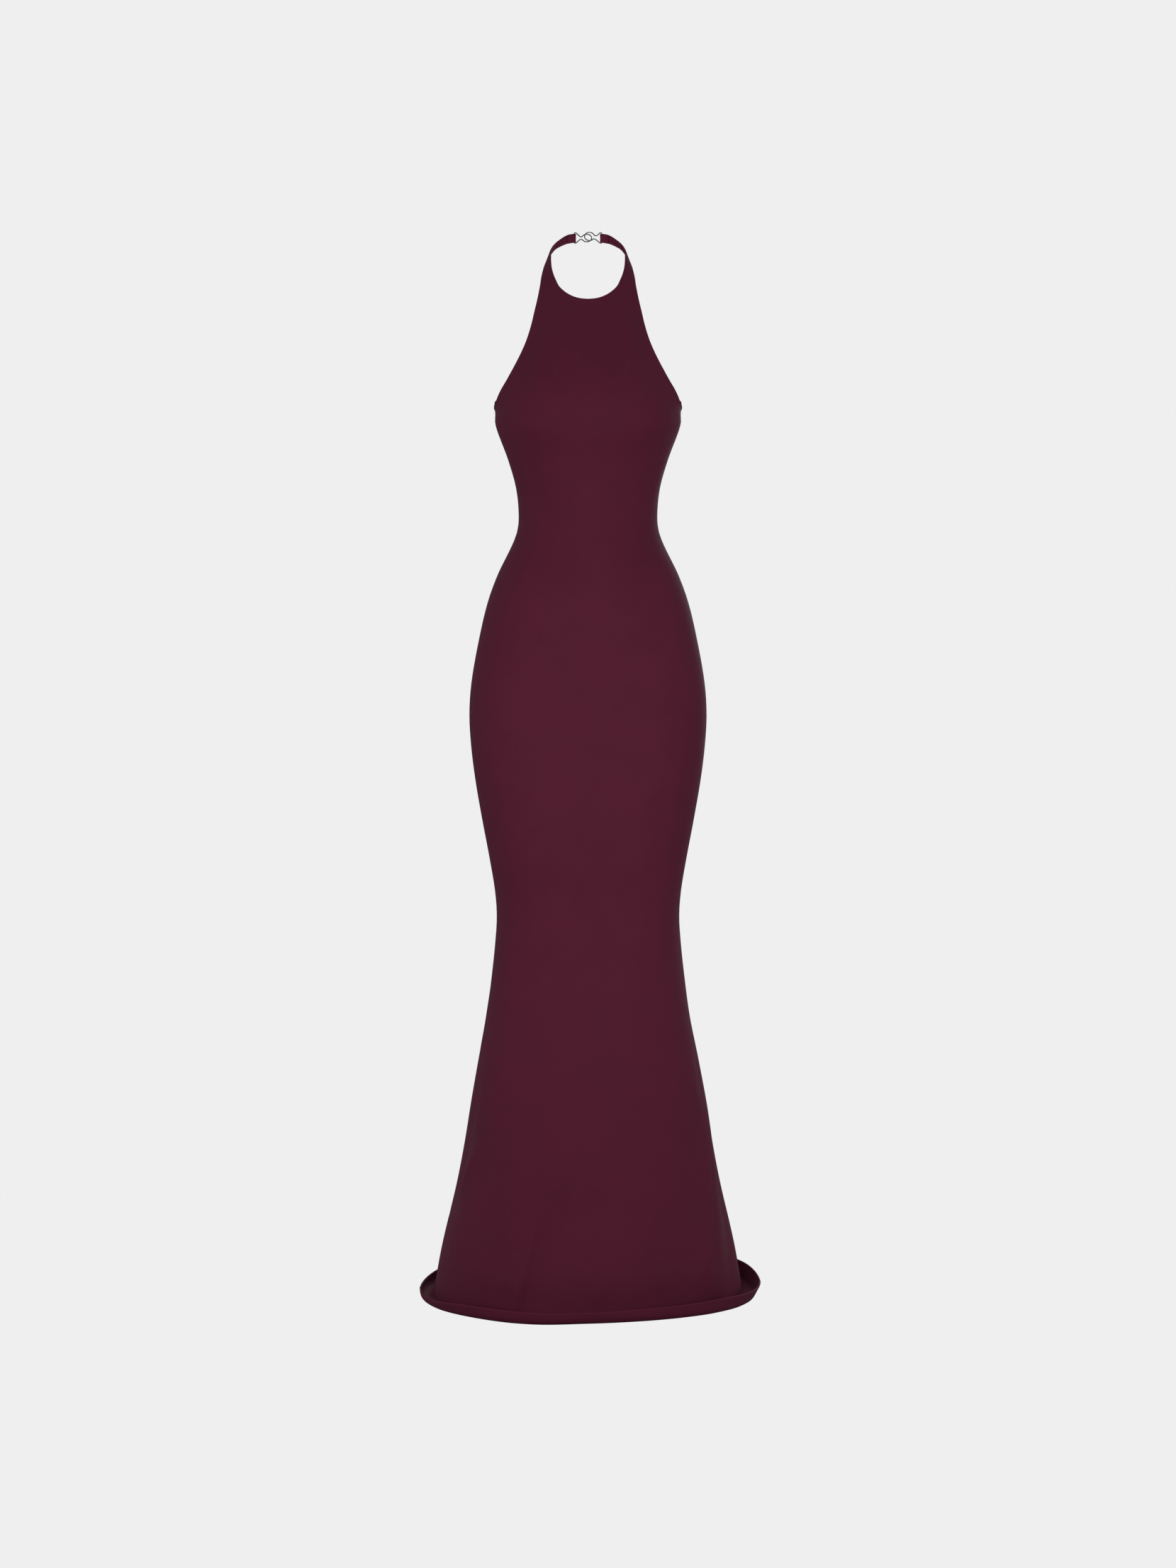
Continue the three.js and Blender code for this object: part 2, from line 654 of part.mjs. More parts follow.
// one half of the clasp: a bar in the strap end, two legs and a tilted ring, bent from one wire
function claspHalf(side) {
  const right = side > 0;
  const ringRadius = 6.8;
  const ringX = (right ? 2 : 1.7) * side;
  const ringZ = right ? 2.3 : 0.1;
  const tilt = (right ? -38 : 38) * degree;
  const corner = 7;
  const neck = right ? 2.3 : 1.3;
  const neckX = right ? 10.7 : 9.7;
  // the bar runs along the middle of the fold in the strap end
  const bar = [1, 0].map((s) => {
    const { point, normal } = strapFrame(strap.length - 1, s, side);
    return point.addScaledVector(normal, -foldRadius);
  });
  const barPoint = (z) => {
    const t = (z + napeHeight - bar[0].z) / (bar[1].z - bar[0].z);
    return bar[0].clone().lerp(bar[1], t);
  };
  const barX = Math.abs(barPoint(0).x);
  const path = [];
  const add = (x, z, y) => {
    const atBar = Math.min(Math.abs(x) / barX, 1) ** 2;
    const depth = mix(59.8, barPoint(z).y, atBar) + y;
    path.push(new THREE.Vector3(x, depth, z + napeHeight));
  };
  for (const z of [-5.4, -2.7, 0, 2.7, 5.4]) {
    path.push(barPoint(z));
  }
  const leg = (up) => [
    { x: barX - 0.3, z: up * (corner - 0.2), y: 0 },
    { x: barX - 1.6, z: up * corner, y: 0 },
    { x: barX - 3.4, z: up * (corner - 0.7), y: 0 },
    { x: 13.2, z: up * mix(corner, neck, 0.55), y: 0 },
    { x: neckX, z: up * neck, y: up * 1.1 * Math.sin(tilt) },
  ];
  for (const p of leg(1)) add(side * p.x, p.z, p.y);
  const from = (right ? 24 : 32) * degree;
  const to = (right ? 318 : 326) * degree;
  const ringSteps = 20;
  for (let i = 0; i <= ringSteps; i += 1) {
    const a = mix(from, to, i / ringSteps);
    const x = ringX + side * ringRadius * Math.cos(a);
    const rise = ringRadius * Math.sin(a);
    add(x, ringZ + rise * Math.cos(tilt), rise * Math.sin(tilt));
  }
  for (const p of leg(-1).reverse()) add(side * p.x, p.z, p.y);
  const curve = new THREE.CatmullRomCurve3(path, true, 'centripetal');
  return wireLoop(curve.getSpacedPoints(60).slice(0, 60), wire / 2, 8);
}

function piece(name, geometry, colour, metalness, roughness) {
  const material = new THREE.MeshStandardMaterial({ color: colour, metalness, roughness });
  const mesh = new THREE.Mesh(geometry, material);
  mesh.name = name;
  return mesh;
}

const dress = new THREE.Group();
dress.name = 'halter_dress';
dress.add(piece('front', frontPanel(), '#4d1a26', 0, 0.8));
dress.add(piece('back', backPanel(), '#48161f', 0, 0.8));
dress.add(piece('clasp_left', claspHalf(-1), '#8c8d90', 1, 0.3));
dress.add(piece('clasp_right', claspHalf(1), '#97989b', 1, 0.3));

export default dress;
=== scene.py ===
from math import cos, degrees, pi, radians, sin

import bpy
import numpy as np
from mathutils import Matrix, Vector
from mathutils.bvhtree import BVHTree


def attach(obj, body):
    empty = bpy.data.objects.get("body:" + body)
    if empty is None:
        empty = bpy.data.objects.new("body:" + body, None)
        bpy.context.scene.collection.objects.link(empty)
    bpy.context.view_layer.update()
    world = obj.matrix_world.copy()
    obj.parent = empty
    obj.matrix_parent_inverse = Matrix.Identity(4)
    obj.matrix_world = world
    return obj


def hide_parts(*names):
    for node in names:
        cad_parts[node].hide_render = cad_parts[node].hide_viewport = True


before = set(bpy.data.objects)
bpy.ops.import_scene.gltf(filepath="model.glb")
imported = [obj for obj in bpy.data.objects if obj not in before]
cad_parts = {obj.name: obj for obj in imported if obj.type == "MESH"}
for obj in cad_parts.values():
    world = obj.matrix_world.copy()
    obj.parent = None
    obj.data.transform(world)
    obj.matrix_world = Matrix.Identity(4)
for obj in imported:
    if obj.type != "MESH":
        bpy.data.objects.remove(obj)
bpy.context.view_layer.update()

bpy.ops.object.select_all(action="DESELECT")

# Long halter dress in burgundy jersey, filled out on a general figure, with an open back.
# The cloth is worked out in millimetres: heights above the floor, depths from the side seams.
dress = {
    "napeHeight": 1469.3,
    "napeDepth": 59,
    "jersey": 1.5,       # cloth as it is drawn, loops and air included
    "turnedEdge": 2.2,   # neckline, bib sides and top of the back, turned in once
    "turnedHem": 2.4,
    "bandWidth": 5.8,    # how wide the edges are turned in
    "bandRise": 0.32,    # how far the turned edge stands proud
    "stitchInset": 5,    # from the folded edge to the row of stitches
    "stitchDip": 0.3,    # how far the stitches draw the edge down
    "seamDip": 0.42,     # depth and spread of the groove along the side seam
    "seamSpread": 1.7,
    "seamGap": 0.02,     # the sewn seam is shut, so no light comes through
    "underarm": 1232,    # where the side seam ends
    "strapFoot": 1402,   # where the side of the bib becomes the strap
    "neckFoot": 1404,    # where the neckline becomes the strap
    "neckLow": 1380.6,   # middle of the neckline
    "neckHalf": 43,      # half the width of the neckline
    "backLow": 1046,     # middle of the open back
    "drift": (1.3, 230, 130),   # the skirt's drift to one side, its height and its spread
}


# a portrait lens in front of the dress, at the height of its waist
view = {
    "place": (0, -5.459, -0.3223),
    "target": (0, -0.059, -0.7523),
    "sensor": 36,
    "lens": 89.962,
}


def makeCamera():
    data = bpy.data.cameras.new("portraitLens")
    data.sensor_fit = "VERTICAL"
    data.sensor_height = view["sensor"]
    data.lens = view["lens"]
    camera = bpy.data.objects.new("frontCamera", data)
    bpy.context.collection.objects.link(camera)
    camera.location = view["place"]
    aim = Vector(view["target"]) - camera.location
    camera.rotation_euler = aim.to_track_quat("-Z", "Y").to_euler()
    bpy.context.scene.camera = camera


makeCamera()
print("camera placed")


# sRGB hex to linear
def colour(code):
    values = [int(code[i:i + 2], 16) / 255 for i in (1, 3, 5)]
    return [v / 12.92 if v <= 0.04045 else ((v + 0.055) / 1.055) ** 2.4 for v in values] + [1]


def addNode(tree, kind, settings=(), links=()):
    node = tree.nodes.new("ShaderNode" + kind)
    for name, value in dict(settings).items():
        if isinstance(name, int) or name in node.inputs:
            node.inputs[name].default_value = value
        else:
            setattr(node, name, value)
    for socket, source in dict(links).items():
        tree.links.new(source, node.inputs[socket])
    return node


def newMaterial(name):
    material = bpy.data.materials.new(name)
    material.use_nodes = True
    material.node_tree.nodes.clear()
    return material, material.node_tree


def putMaterial(piece, material):
    piece.data.materials.clear()
    piece.data.materials.append(material)


# sections of the filled dress from the hem to the shoulders
sections = {
    "height": [6, 36, 67, 97, 157, 217, 277, 337, 396, 456, 500, 535, 570, 614, 673, 722, 770, 815, 860,
               918, 967, 1006, 1045, 1064, 1084, 1123, 1162, 1196, 1214, 1230, 1250, 1275, 1300, 1325,
               1350, 1370, 1385, 1404, 1420],
    "half": [215.5, 210.6, 205, 198.4, 184.4, 173, 163.2, 152.3, 140.8, 133, 128.4, 126.3, 128.6, 135.7,
             146.8, 155.3, 161.3, 163.7, 160.5, 150.1, 138.5, 124.4, 105.3, 97.9, 95.3, 98.6, 109.3,
             121.8, 127.1, 127, 132.5, 131.5, 125, 115, 104, 95, 87.5, 79.3, 72],
    "front": [214, 208, 201, 194, 180, 168, 157, 146, 134, 123, 116, 112, 111, 111, 112, 112, 111, 110,
              109, 107, 105, 101, 95, 92.4, 91, 92, 100, 112, 116, 119, 117, 109, 98, 86, 73, 62.5, 54.5,
              45.7, 41],
    "back": [214, 209, 203, 196, 183, 172, 161, 150, 139, 129, 123, 120, 119, 119, 120, 122, 124, 125,
             124, 118, 108, 96, 84, 79.5, 77, 77, 81, 86, 88.3, 90, 91, 92, 92, 92, 90, 88, 84, 78, 73],
    "middle": [0] * 33 + [2, 5, 7, 8, 9, 9],
    "square": [2, 5, 9, 12, 15, 17, 18, 18, 17, 15, 14, 13, 13, 14, 15, 15, 15, 15, 14, 12, 9, 6, 3,
               2, 1, 0, 0, 0, 0, 0, -1, -2, -3, -3.5, -3.5, -3, -2, 0, 0],
}
# half widths of the bib up its sides, and the line of the neckline
bibEdge = {
    "height": [1232, 1239, 1249, 1259, 1270, 1288, 1307, 1326, 1346, 1365, 1384, 1402],
    "half": [127.1, 123.1, 119.8, 115.4, 109.3, 100.6, 92.1, 84.8, 79, 74.6, 69.6, 65],
}
neckline = {
    "half": [0, 10, 18.8, 28.4, 36, 41.4, 43],
    "height": [1380.6, 1381.5, 1383.8, 1388.6, 1394.6, 1400.6, 1404],
}
# neck strap from the bib to the bar of the clasp: its neck side (n) and its outer side (o)
strap = {
    "row": list(range(11)),
    "nx": [43, 47.5, 50.3, 51.3, 51.6, 51.6, 49.3, 44.5, 37.5, 29, 20.4],
    "ny": [-37, -28, -17.5, -6, 5, 15, 24.5, 33.5, 42.5, 50.8, 57],
    "nz": [1404, 1414.5, 1425, 1435, 1442, 1448.5, 1454.8, 1461, 1467, 1472.6, 1474.6],
    "ox": [65, 63.9, 62.2, 60.2, 57.6, 54.3, 50.7, 45.5, 38.3, 29.2, 20.4],
    "oy": [-22, -14.5, -6, 3.5, 13, 22.5, 31.5, 40, 48.3, 55, 59.8],
    "oz": [1402, 1410.5, 1419, 1427, 1434, 1440.5, 1447, 1453, 1457.4, 1461.5, 1464],
}
# the hem by the angle from the centre front: its height above the floor, how much longer or
# shorter its lip is than the plain stand, and how far the lip leans out, in degrees
hemShape = {
    "angle": [-180, -150, -120, -90, -65, -45, -20, 0, 25, 50, 70, 90, 110, 135, 180],
    "lift": [8, 5, 2, 0, 3.5, 6, 6.5, 10, 11.2, 9, 4.5, 2, 4, 5, 8],
    "taller": [0, -2, -5, -10, -11, -6, -7, -8, -6, -4, -3, -1, 4, 3, 0],
    "lean": [5, 4, 2, 7, 19, 13, 5, 5, 5, 10, 24, 27, 10, 5, 5],
}
hem = {
    "radius": 8.5,
    "slope": radians(77),
    "stand": 11.5,
    "curl": radians(12),
}
hemTurn = hem["radius"] * (1 - cos(hem["slope"]))
hemLength = hem["radius"] * (hem["slope"] + pi / 2 + hem["curl"]) + hem["stand"]

# soft swells of the general figure: across, height, spread, rise, out, on the back
swells = [
    (66, 1222, 35, 44, 14, False),
    (80, 1209, 26, 18, 7.5, False),
    (90, 1180, 24, 18, -3, False),
    (68, 850, 48, 72, 8, True),
    (60, 700, 46, 120, 3, False),
    (0, 14, 115, 20, -3.5, False),
    (0, 462, 80, 26, -1.4, False),
]
# folds of the skirt from top to bottom: angle and height at the top, angle and height at the foot,
# width, rise (a trough is negative) and lean, which sets a ridge beside a trough
folds = [
    (-13, 190, -22, -20, 22, -4, 0),
    (-66, 330, -74, 110, 26, -3.5, 0),
    (72, 330, 46, -30, 26, 5.5, 0),
    (88, 270, 66, -30, 26, -5.5, 0),
    (-42, 470, -34, 90, 30, 4, 0),
    (27, 1412, 26, 1222, 22, 8, 0),
    (-27, 1412, -26, 1222, 22, 8, 0),
    (0, 1412, 0, 1222, 26, 4.5, 0),
    (40, 1040, 40, 330, 34, 4, 0),
    (-40, 1040, -40, 330, 34, 4, 0),
    (22, 300, 27, -20, 32, 2.5, 0),
    (112, 390, 122, -20, 30, 4, 0),
    (150, 300, 144, -30, 28, -4, 0),
    (-168, 430, -163, 30, 30, 4, 0),
    (-140, 260, -133, -20, 28, -4.5, 0),
    (-104, 350, -112, -20, 28, 4, 0),
]
# finer creases that only the cloth has
creases = [
    (-18.7, 170, -26.6, 2, 8, 2, -1),
    (-17.3, 165, -25.3, 3, 4.5, -0.9, 0),
    (-10.5, 120, -14.5, 30, 8, 1.1, -1.2),
    (-32, 190, -29, 40, 6, -0.8, 0.3),
    (-27.5, 310, -25, 205, 6, -0.7, 0),
    (-20.5, 245, -19.5, 190, 7, 0.9, 0),
    (-52, 250, -74, 140, 15, 3, 1.2),
    (-66, 330, -67, 235, 12, -1.6, 0),
    (61.5, 260, 46, 25, 10, 2.4, -1.2),
    (56, 320, 52, 190, 8, -1.3, 0.4),
    (72, 385, 62, 285, 13, -1.8, 0.6),
    (22, 120, 25, 6, 13, -0.8, 0.4),
    (-80, 455, -74, 330, 13, 1.1, 0.5),
    (104, 240, 112, 6, 12, 1.4, -0.8),
    (168, 210, 160, 10, 11, 1.6, 1),
    (-176, 150, 178, 8, 10, -1, 0.8),
    (-150, 340, -144, 150, 13, 1.2, -0.8),
    (-122, 190, -127, 12, 10, 1.5, 0.9),
    (140, 420, 134, 240, 14, -1, 0.6),
]


def column(rows, key, name, at):
    keys = np.array(rows[key], float)
    values = np.array(rows[name], float)
    count = len(keys)
    at = np.asarray(at, float)
    i = np.clip(np.searchsorted(keys, at) - 1, 0, count - 2)

    def slope(k):
        low = np.maximum(k - 1, 0)
        high = np.minimum(k + 1, count - 1)
        return (values[high] - values[low]) / (keys[high] - keys[low])

    span = keys[i + 1] - keys[i]
    t = np.clip((at - keys[i]) / span, 0, 1)
    return (values[i] * (2 * t**3 - 3 * t**2 + 1) + values[i + 1] * (3 * t**2 - 2 * t**3)
            + span * (slope(i) * (t**3 - 2 * t**2 + t) + slope(i + 1) * (t**3 - t**2)))


def soft(t):
    t = np.clip(t, 0, 1)
    return t * t * (3 - 2 * t)


def mix(a, b, t):
    return a + (b - a) * t


def turn(a, b):
    return (a - b + 540) % 360 - 180


def foldRise(angle, height, half):
    rise = np.zeros_like(height)
    for topAngle, top, lowAngle, low, width, out, lean in folds + creases:
        t = (height - low) / (top - low)
        along = soft(t * 4) * soft((1 - t) * 2.2) * (t > 0) * (t < 1)
        middle = mix(lowAngle, topAngle, np.clip(t, 0, 1))
        away = np.radians(turn(angle, middle)) * half / width
        rise += out * along * np.exp(-away**2) * (1 + lean * away)
    return rise


def swellOut(x, height, onBack):
    out = np.zeros_like(x)
    for across, middle, spread, rise, amount, backward in swells:
        up = np.exp(-0.5 * ((height - middle) / rise) ** 2)
        for side in (-1, 1):
            away = np.exp(-0.5 * ((x - side * across) / spread) ** 2)
            out += amount * up * away * (onBack == backward)
    return out


def roll(length, taller, lean):
    radius, slope, curl = hem["radius"], hem["slope"], hem["curl"]
    bend = slope + pi / 2 - lean
    straight = hemLength - radius * (bend + curl)
    first = np.minimum(length / radius, bend)
    past = length - bend * radius
    stand = np.clip(past / straight, 0, 1) * (straight + taller)
    last = np.maximum(past - straight, 0) / radius
    out = radius * (sin(slope) - np.sin(slope - first)) + stand * np.sin(lean)
    up = radius * (cos(slope) - np.cos(slope - first)) + stand * np.cos(lean)
    out = out + radius * (np.cos(lean - last) - np.cos(lean))
    return out, up + radius * (np.sin(lean) - np.sin(lean - last))


# outer face of the cloth; below the hem turn the height goes on as a length along the roll
def facePoint(angle, height):
    angle, height = np.broadcast_arrays(np.asarray(angle, float), np.asarray(height, float))
    base = np.maximum(height, hemTurn)
    half = column(sections, "height", "half", base)
    middle = column(sections, "height", "middle", base)
    c, s = np.cos(angle), np.sin(angle)
    depth = np.where(c > 0, column(sections, "height", "front", base) + middle,
                     column(sections, "height", "back", base) - middle)
    drift, driftHeight, driftSpread = dress["drift"]
    x = half * s + drift * np.exp(-((base - driftHeight) / driftSpread) ** 2)
    y = middle - depth * c
    across, ahead = depth * s, -half * c
    size = np.hypot(across, ahead)
    wrapped = turn(np.degrees(angle), 0)
    lift = column(hemShape, "angle", "lift", wrapped) * (1 - soft(base / 260))
    taller = column(hemShape, "angle", "taller", wrapped)
    lean = np.radians(column(hemShape, "angle", "lean", wrapped))
    curlOut, curlUp = roll(hemTurn - np.minimum(height, hemTurn), taller, lean)
    # a front that is flatter in the middle and rounder at the sides than an ellipse, or the reverse
    square = column(sections, "height", "square", base) * np.sin(2 * angle)**2 * (c > 0)
    out = (curlOut + square + foldRise(wrapped, height, half)
           + soft(np.abs(c) * 2.5) * swellOut(x, base, c <= 0))
    return np.stack([x + across / size * out, y + ahead / size * out, base + lift + curlUp], -1)


def angleAt(half, height):
    return np.arcsin(np.minimum(half / column(sections, "height", "half", height), 1))


# how far round a point lies and how far up the cloth it lies, both measured along the knit
def clothMeasure(angle, height, start):
    parts = np.linspace(0, 1, 25)[:, None]
    flat = facePoint(start + (angle - start) * parts, np.broadcast_to(height, (25, len(height))))
    across = np.hypot(*np.moveaxis(np.diff(flat[..., :2], axis=0), -1, 0)).sum(0)
    steps = np.linspace(hemTurn, 1440, 400)
    middle = facePoint(np.full(400, start), steps)
    up = np.concatenate([[0], np.cumsum(np.linalg.norm(np.diff(middle, axis=0), axis=1))])
    along = np.where(height < hemTurn, height - hemTurn, np.interp(height, steps, up))
    return np.stack([np.sign(angle - start) * across, along], 1) / 1000


# distances from a free edge at which the cloth has a column or a row, so that the band shows
edgeSteps = np.array([0, 0.6, 1.5, 2.8, 4.2, 5, 5.5, 6.1, 7.2, 9])


class Sheet:
    def __init__(self):
        self.points, self.flat, self.walls, self.seams = [], [], [], []
        self.faces = []
        self.count = 0

    def addRow(self, points, flat, walls, seams=None):
        n = len(points)
        self.points.append(points)
        self.flat.append(flat)
        self.walls.append(np.broadcast_to(walls, n))
        self.seams.append(np.zeros(n) if seams is None else seams)
        self.count += n
        return np.arange(self.count - n, self.count)

    def join(self, lower, upper, flip=False):
        for i in range(len(lower) - 1):
            quad = [lower[i], lower[i + 1], upper[i + 1], upper[i]]
            self.faces.append(quad[::-1] if flip else quad)

    def arrays(self):
        return (np.concatenate(self.points), np.concatenate(self.flat),
                np.concatenate(self.walls), np.concatenate(self.seams), np.array(self.faces))


def vertexNormals(points, faces):
    a, b, c, d = (points[faces[:, i]] for i in range(4))
    area = np.cross(c - a, d - b)
    normals = np.zeros_like(points)
    for i in range(4):
        np.add.at(normals, faces[:, i], area)
    size = np.linalg.norm(normals, axis=1, keepdims=True)
    return normals / np.maximum(size, 1e-9)


# distance from every point to a line of points
def edgeDistance(points, line):
    nearest = np.full(len(points), 1e9)
    for a, b in zip(line[:-1], line[1:]):
        run = b - a
        t = np.clip(((points - a) @ run) / max(run @ run, 1e-9), 0, 1)
        nearest = np.minimum(nearest, np.linalg.norm(points - a - t[:, None] * run, axis=1))
    return nearest


# a turned edge stands a little proud and is drawn down along its stitching
def bandRise(distance):
    band = dress["bandRise"] * (1 - soft((distance - dress["bandWidth"] + 0.3) / 0.9))
    return band - dress["stitchDip"] * np.exp(-((distance - dress["stitchInset"]) / 0.6) ** 2)


def inFrame(points):
    shift = np.array([0, -dress["napeDepth"], -dress["napeHeight"]])
    return (points + shift) / 1000


def shellObject(name, sheet, edgeLines, groove):
    points, flat, walls, seams, faces = sheet.arrays()
    normals = vertexNormals(points, faces)
    distance = np.full(len(points), 1e9)
    for line in edgeLines:
        distance = np.minimum(distance, edgeDistance(points, line))
    rise = bandRise(distance) - dress["seamDip"] * np.exp(-(groove / dress["seamSpread"]) ** 2)
    outer = points + normals * rise[:, None]
    # points on the side seam stay on their own side of its gap
    atSeam = seams > 0
    outer[atSeam, 1] = points[atSeam, 1]
    normals = vertexNormals(outer, faces)
    inner = outer - normals * walls[:, None]
    inner[atSeam, 1] = outer[atSeam, 1]
    count = len(points)
    edges = {}
    for face in faces:
        for i in range(4):
            edges[(face[i], face[(i + 1) % 4])] = True
    free = [edge for edge in edges if (edge[1], edge[0]) not in edges]
    away = {}
    for p, q in free:
        outward = np.cross(outer[q] - outer[p], normals[p] + normals[q])
        outward /= max(np.linalg.norm(outward), 1e-9)
        for k in (p, q):
            away[k] = away.get(k, 0) + outward
    rim = {}
    rimPoints = []
    for k, direction in away.items():
        direction = direction / max(np.linalg.norm(direction), 1e-9)
        bulge = 0 if seams[k] > 0 else 0.4 * walls[k]
        rim[k] = 2 * count + len(rimPoints)
        rimPoints.append((outer[k] + inner[k]) / 2 + direction * bulge)
    allPoints = np.concatenate([outer, inner, np.array(rimPoints)])
    allFaces = faces.tolist() + (faces[:, ::-1] + count).tolist()
    for p, q in free:
        allFaces.append([q, p, rim[p], rim[q]])
        allFaces.append([rim[q], rim[p], p + count, q + count])
    mesh = bpy.data.meshes.new(name)
    mesh.from_pydata(inFrame(allPoints).tolist(), [], allFaces)
    keys = np.concatenate([flat, flat, flat[list(away)]])
    layer = mesh.uv_layers.new(name="knit")
    loops = np.zeros(len(mesh.loops), int)
    mesh.loops.foreach_get("vertex_index", loops)
    layer.data.foreach_set("uv", keys[loops].ravel())
    mesh.polygons.foreach_set("use_smooth", [True] * len(mesh.polygons))
    mesh.validate()
    piece = bpy.data.objects.new(name, mesh)
    bpy.context.collection.objects.link(piece)
    tree = BVHTree.FromPolygons(outer.tolist(), faces.tolist())
    return piece, tree


# fractions from the middle to the edge, with close columns along the free edge
def columnsToEdge(length, count):
    steps = edgeSteps / length
    inside = creasedSteps(count) * (1 - steps[-1])
    return np.concatenate([inside, 1 - steps[::-1]])


# fractions from 0 to 1 with close columns at both ends, for the bib and the straps
def bothEdges(length, count):
    near = edgeSteps * min(1, length / panel["strapWidth"]) / length
    inside = np.linspace(near[-1], 1 - near[-1], count - 2 * len(near) + 3)[1:-1]
    return np.concatenate([near, inside, 1 - near[::-1]])


# fractions of a quarter turn, closer together where the sharp creases of the skirt run
def creasedSteps(count):
    at = np.linspace(0, 90, 400)
    close = 1 + 2 * np.exp(-((at - 23) / 7) ** 2) + 0.8 * np.exp(-((at - 58) / 14) ** 2)
    total = np.concatenate([[0], np.cumsum((close[1:] + close[:-1]) / 2)])
    return np.interp(np.linspace(0, total[-1], count + 1)[:-1], total, at / 90)


def halfLength(height, edgeAngle, start):
    angles = np.linspace(start, start + edgeAngle, 40)
    points = facePoint(angles, np.full(40, height))
    return np.linalg.norm(np.diff(points, axis=0), axis=1).sum()


def wallAt(height):
    return mix(dress["turnedHem"], dress["jersey"], soft((height - hemTurn + hemLength - 24) / 8))


def skirtHeights(top):
    lip = hemTurn - hemLength
    rows = [lip + d for d in (0, 0.6, 1.5, 3, 5, 7.5)]
    rows += list(np.linspace(lip + 7.5, hemTurn, 15)[1:])
    for low, high, step in ((hemTurn, 97, 5.5), (97, 340, 6.6), (340, 1000, 11), (1000, 1150, 8)):
        rows += list(np.linspace(low, high, round((high - low) / step) + 1)[1:])
    return [h for h in rows if h < top]


panel = {
    "columns": 78,      # columns from the centre to the close ones at the side
    "skirtTop": 1150,   # the front's rows are level up to here
    "bibStart": 1240,   # centre of the row that ends at the underarm
    "backLevel": 985,   # the back's rows are level up to here
    "waistRows": 15,
    "bibRows": 24,
    "backRows": 21,
    "footRows": 21,
    "strapStep": 0.25,
    "strapWidth": 26,
}


def fullRow(sheet, centre, edgeAngle, centreHeight, edgeHeight, seam, wall):
    length = halfLength((centreHeight + edgeHeight) / 2, edgeAngle, centre)
    s = columnsToEdge(length, panel["columns"])
    s = np.concatenate([-s[:0:-1], s])
    angle = centre + s * edgeAngle
    height = mix(centreHeight, edgeHeight, s * s)
    points = facePoint(angle, height)
    seams = np.zeros(len(s))
    if seam:
        seams[[0, -1]] = 1
        points[[0, -1], 1] += seam * dress["seamGap"] / 2
    row = sheet.addRow(points, clothMeasure(angle, height, centre), wall, seams)
    groove = (1 - np.abs(s)) * length if seam else np.full(len(s), 1e3)
    return row, groove


# points at even steps along a line given by angle and height
def evenSteps(angle, height, steps):
    points = facePoint(angle, height)
    length = np.concatenate([[0], np.cumsum(np.linalg.norm(np.diff(points, axis=0), axis=1))])
    at = length[-1] * np.asarray(steps)
    return np.interp(at, length, angle), np.interp(at, length, height)


bibHeights = np.linspace(dress["underarm"], dress["strapFoot"], 400)
bibAngles = angleAt(column(bibEdge, "height", "half", bibHeights), bibHeights)
bibAngles[0] = pi / 2
neckHalves = np.linspace(0, dress["neckHalf"], 200)
neckHeights = column(neckline, "half", "height", neckHalves)
neckAngles = angleAt(neckHalves, neckHeights)
bibSplit = 11 / 18   # how far up the bib's side the row lies that meets the neckline


# outer point, outward normal and direction of the strap; s runs from the neck side outwards
def strapFrame(u, s, side):
    last = len(strap["row"]) - 1

    def at(v, w):
        value = {k: float(column(strap, "row", k, min(max(v, 0), last))) for k in strap}
        return np.array([side * mix(value["nx"], value["ox"], w),
                         mix(value["ny"], value["oy"], w), mix(value["nz"], value["oz"], w)])

    along = at(min(u + 0.05, last), s) - at(max(u - 0.05, 0), s)
    along /= np.linalg.norm(along)
    across = at(u, 1) - at(u, 0)
    across /= np.linalg.norm(across)
    normal = np.cross(across, along) * side
    normal /= np.linalg.norm(normal)
    crown = 0.9 * 4 * s * (1 - s) * (1 - float(soft(u - 8.5)))
    return at(u, s) + normal * crown, normal, along


strapEnd = {
    "wire": 1.5,
    "strapWall": 1.9,
    "wall": 1.2,         # drawn thinner where it wraps the bar
    "clearance": 0.4,    # between the bar and the cloth
    "bendSteps": 12,
    "returns": (0.12, 0.25, 0.4, 0.55, 0.75, 0.95),
}
foldRadius = strapEnd["wire"] / 2 + strapEnd["clearance"] + strapEnd["wall"]


def strapRows(side, s):
    rows = []
    last = len(strap["row"]) - 1
    for u in np.arange(0, last + 0.01, panel["strapStep"]):
        points = np.array([strapFrame(u, v, side)[0] for v in s])
        wall = mix(strapEnd["strapWall"], strapEnd["wall"], soft((u - 6.5) / 2.2))
        rows.append((points, float(wall)))
    ends = [strapFrame(last, v, side) for v in s]
    for k in range(1, strapEnd["bendSteps"] + 1):
        bend = pi * k / strapEnd["bendSteps"]
        points = np.array([p - n * foldRadius + (n * cos(bend) + a * sin(bend)) * foldRadius
                           for p, n, a in ends])
        rows.append((points, strapEnd["wall"]))
    for back in strapEnd["returns"]:
        depth = mix(2 * foldRadius, 2 * strapEnd["wall"] + 0.35, soft((back - 0.12) / 0.6))
        frames = [strapFrame(last - back, mix(0.04, 0.96, v), side) for v in s]
        rows.append((np.array([p - n * depth for p, n, _ in frames]), strapEnd["wall"]))
    return rows


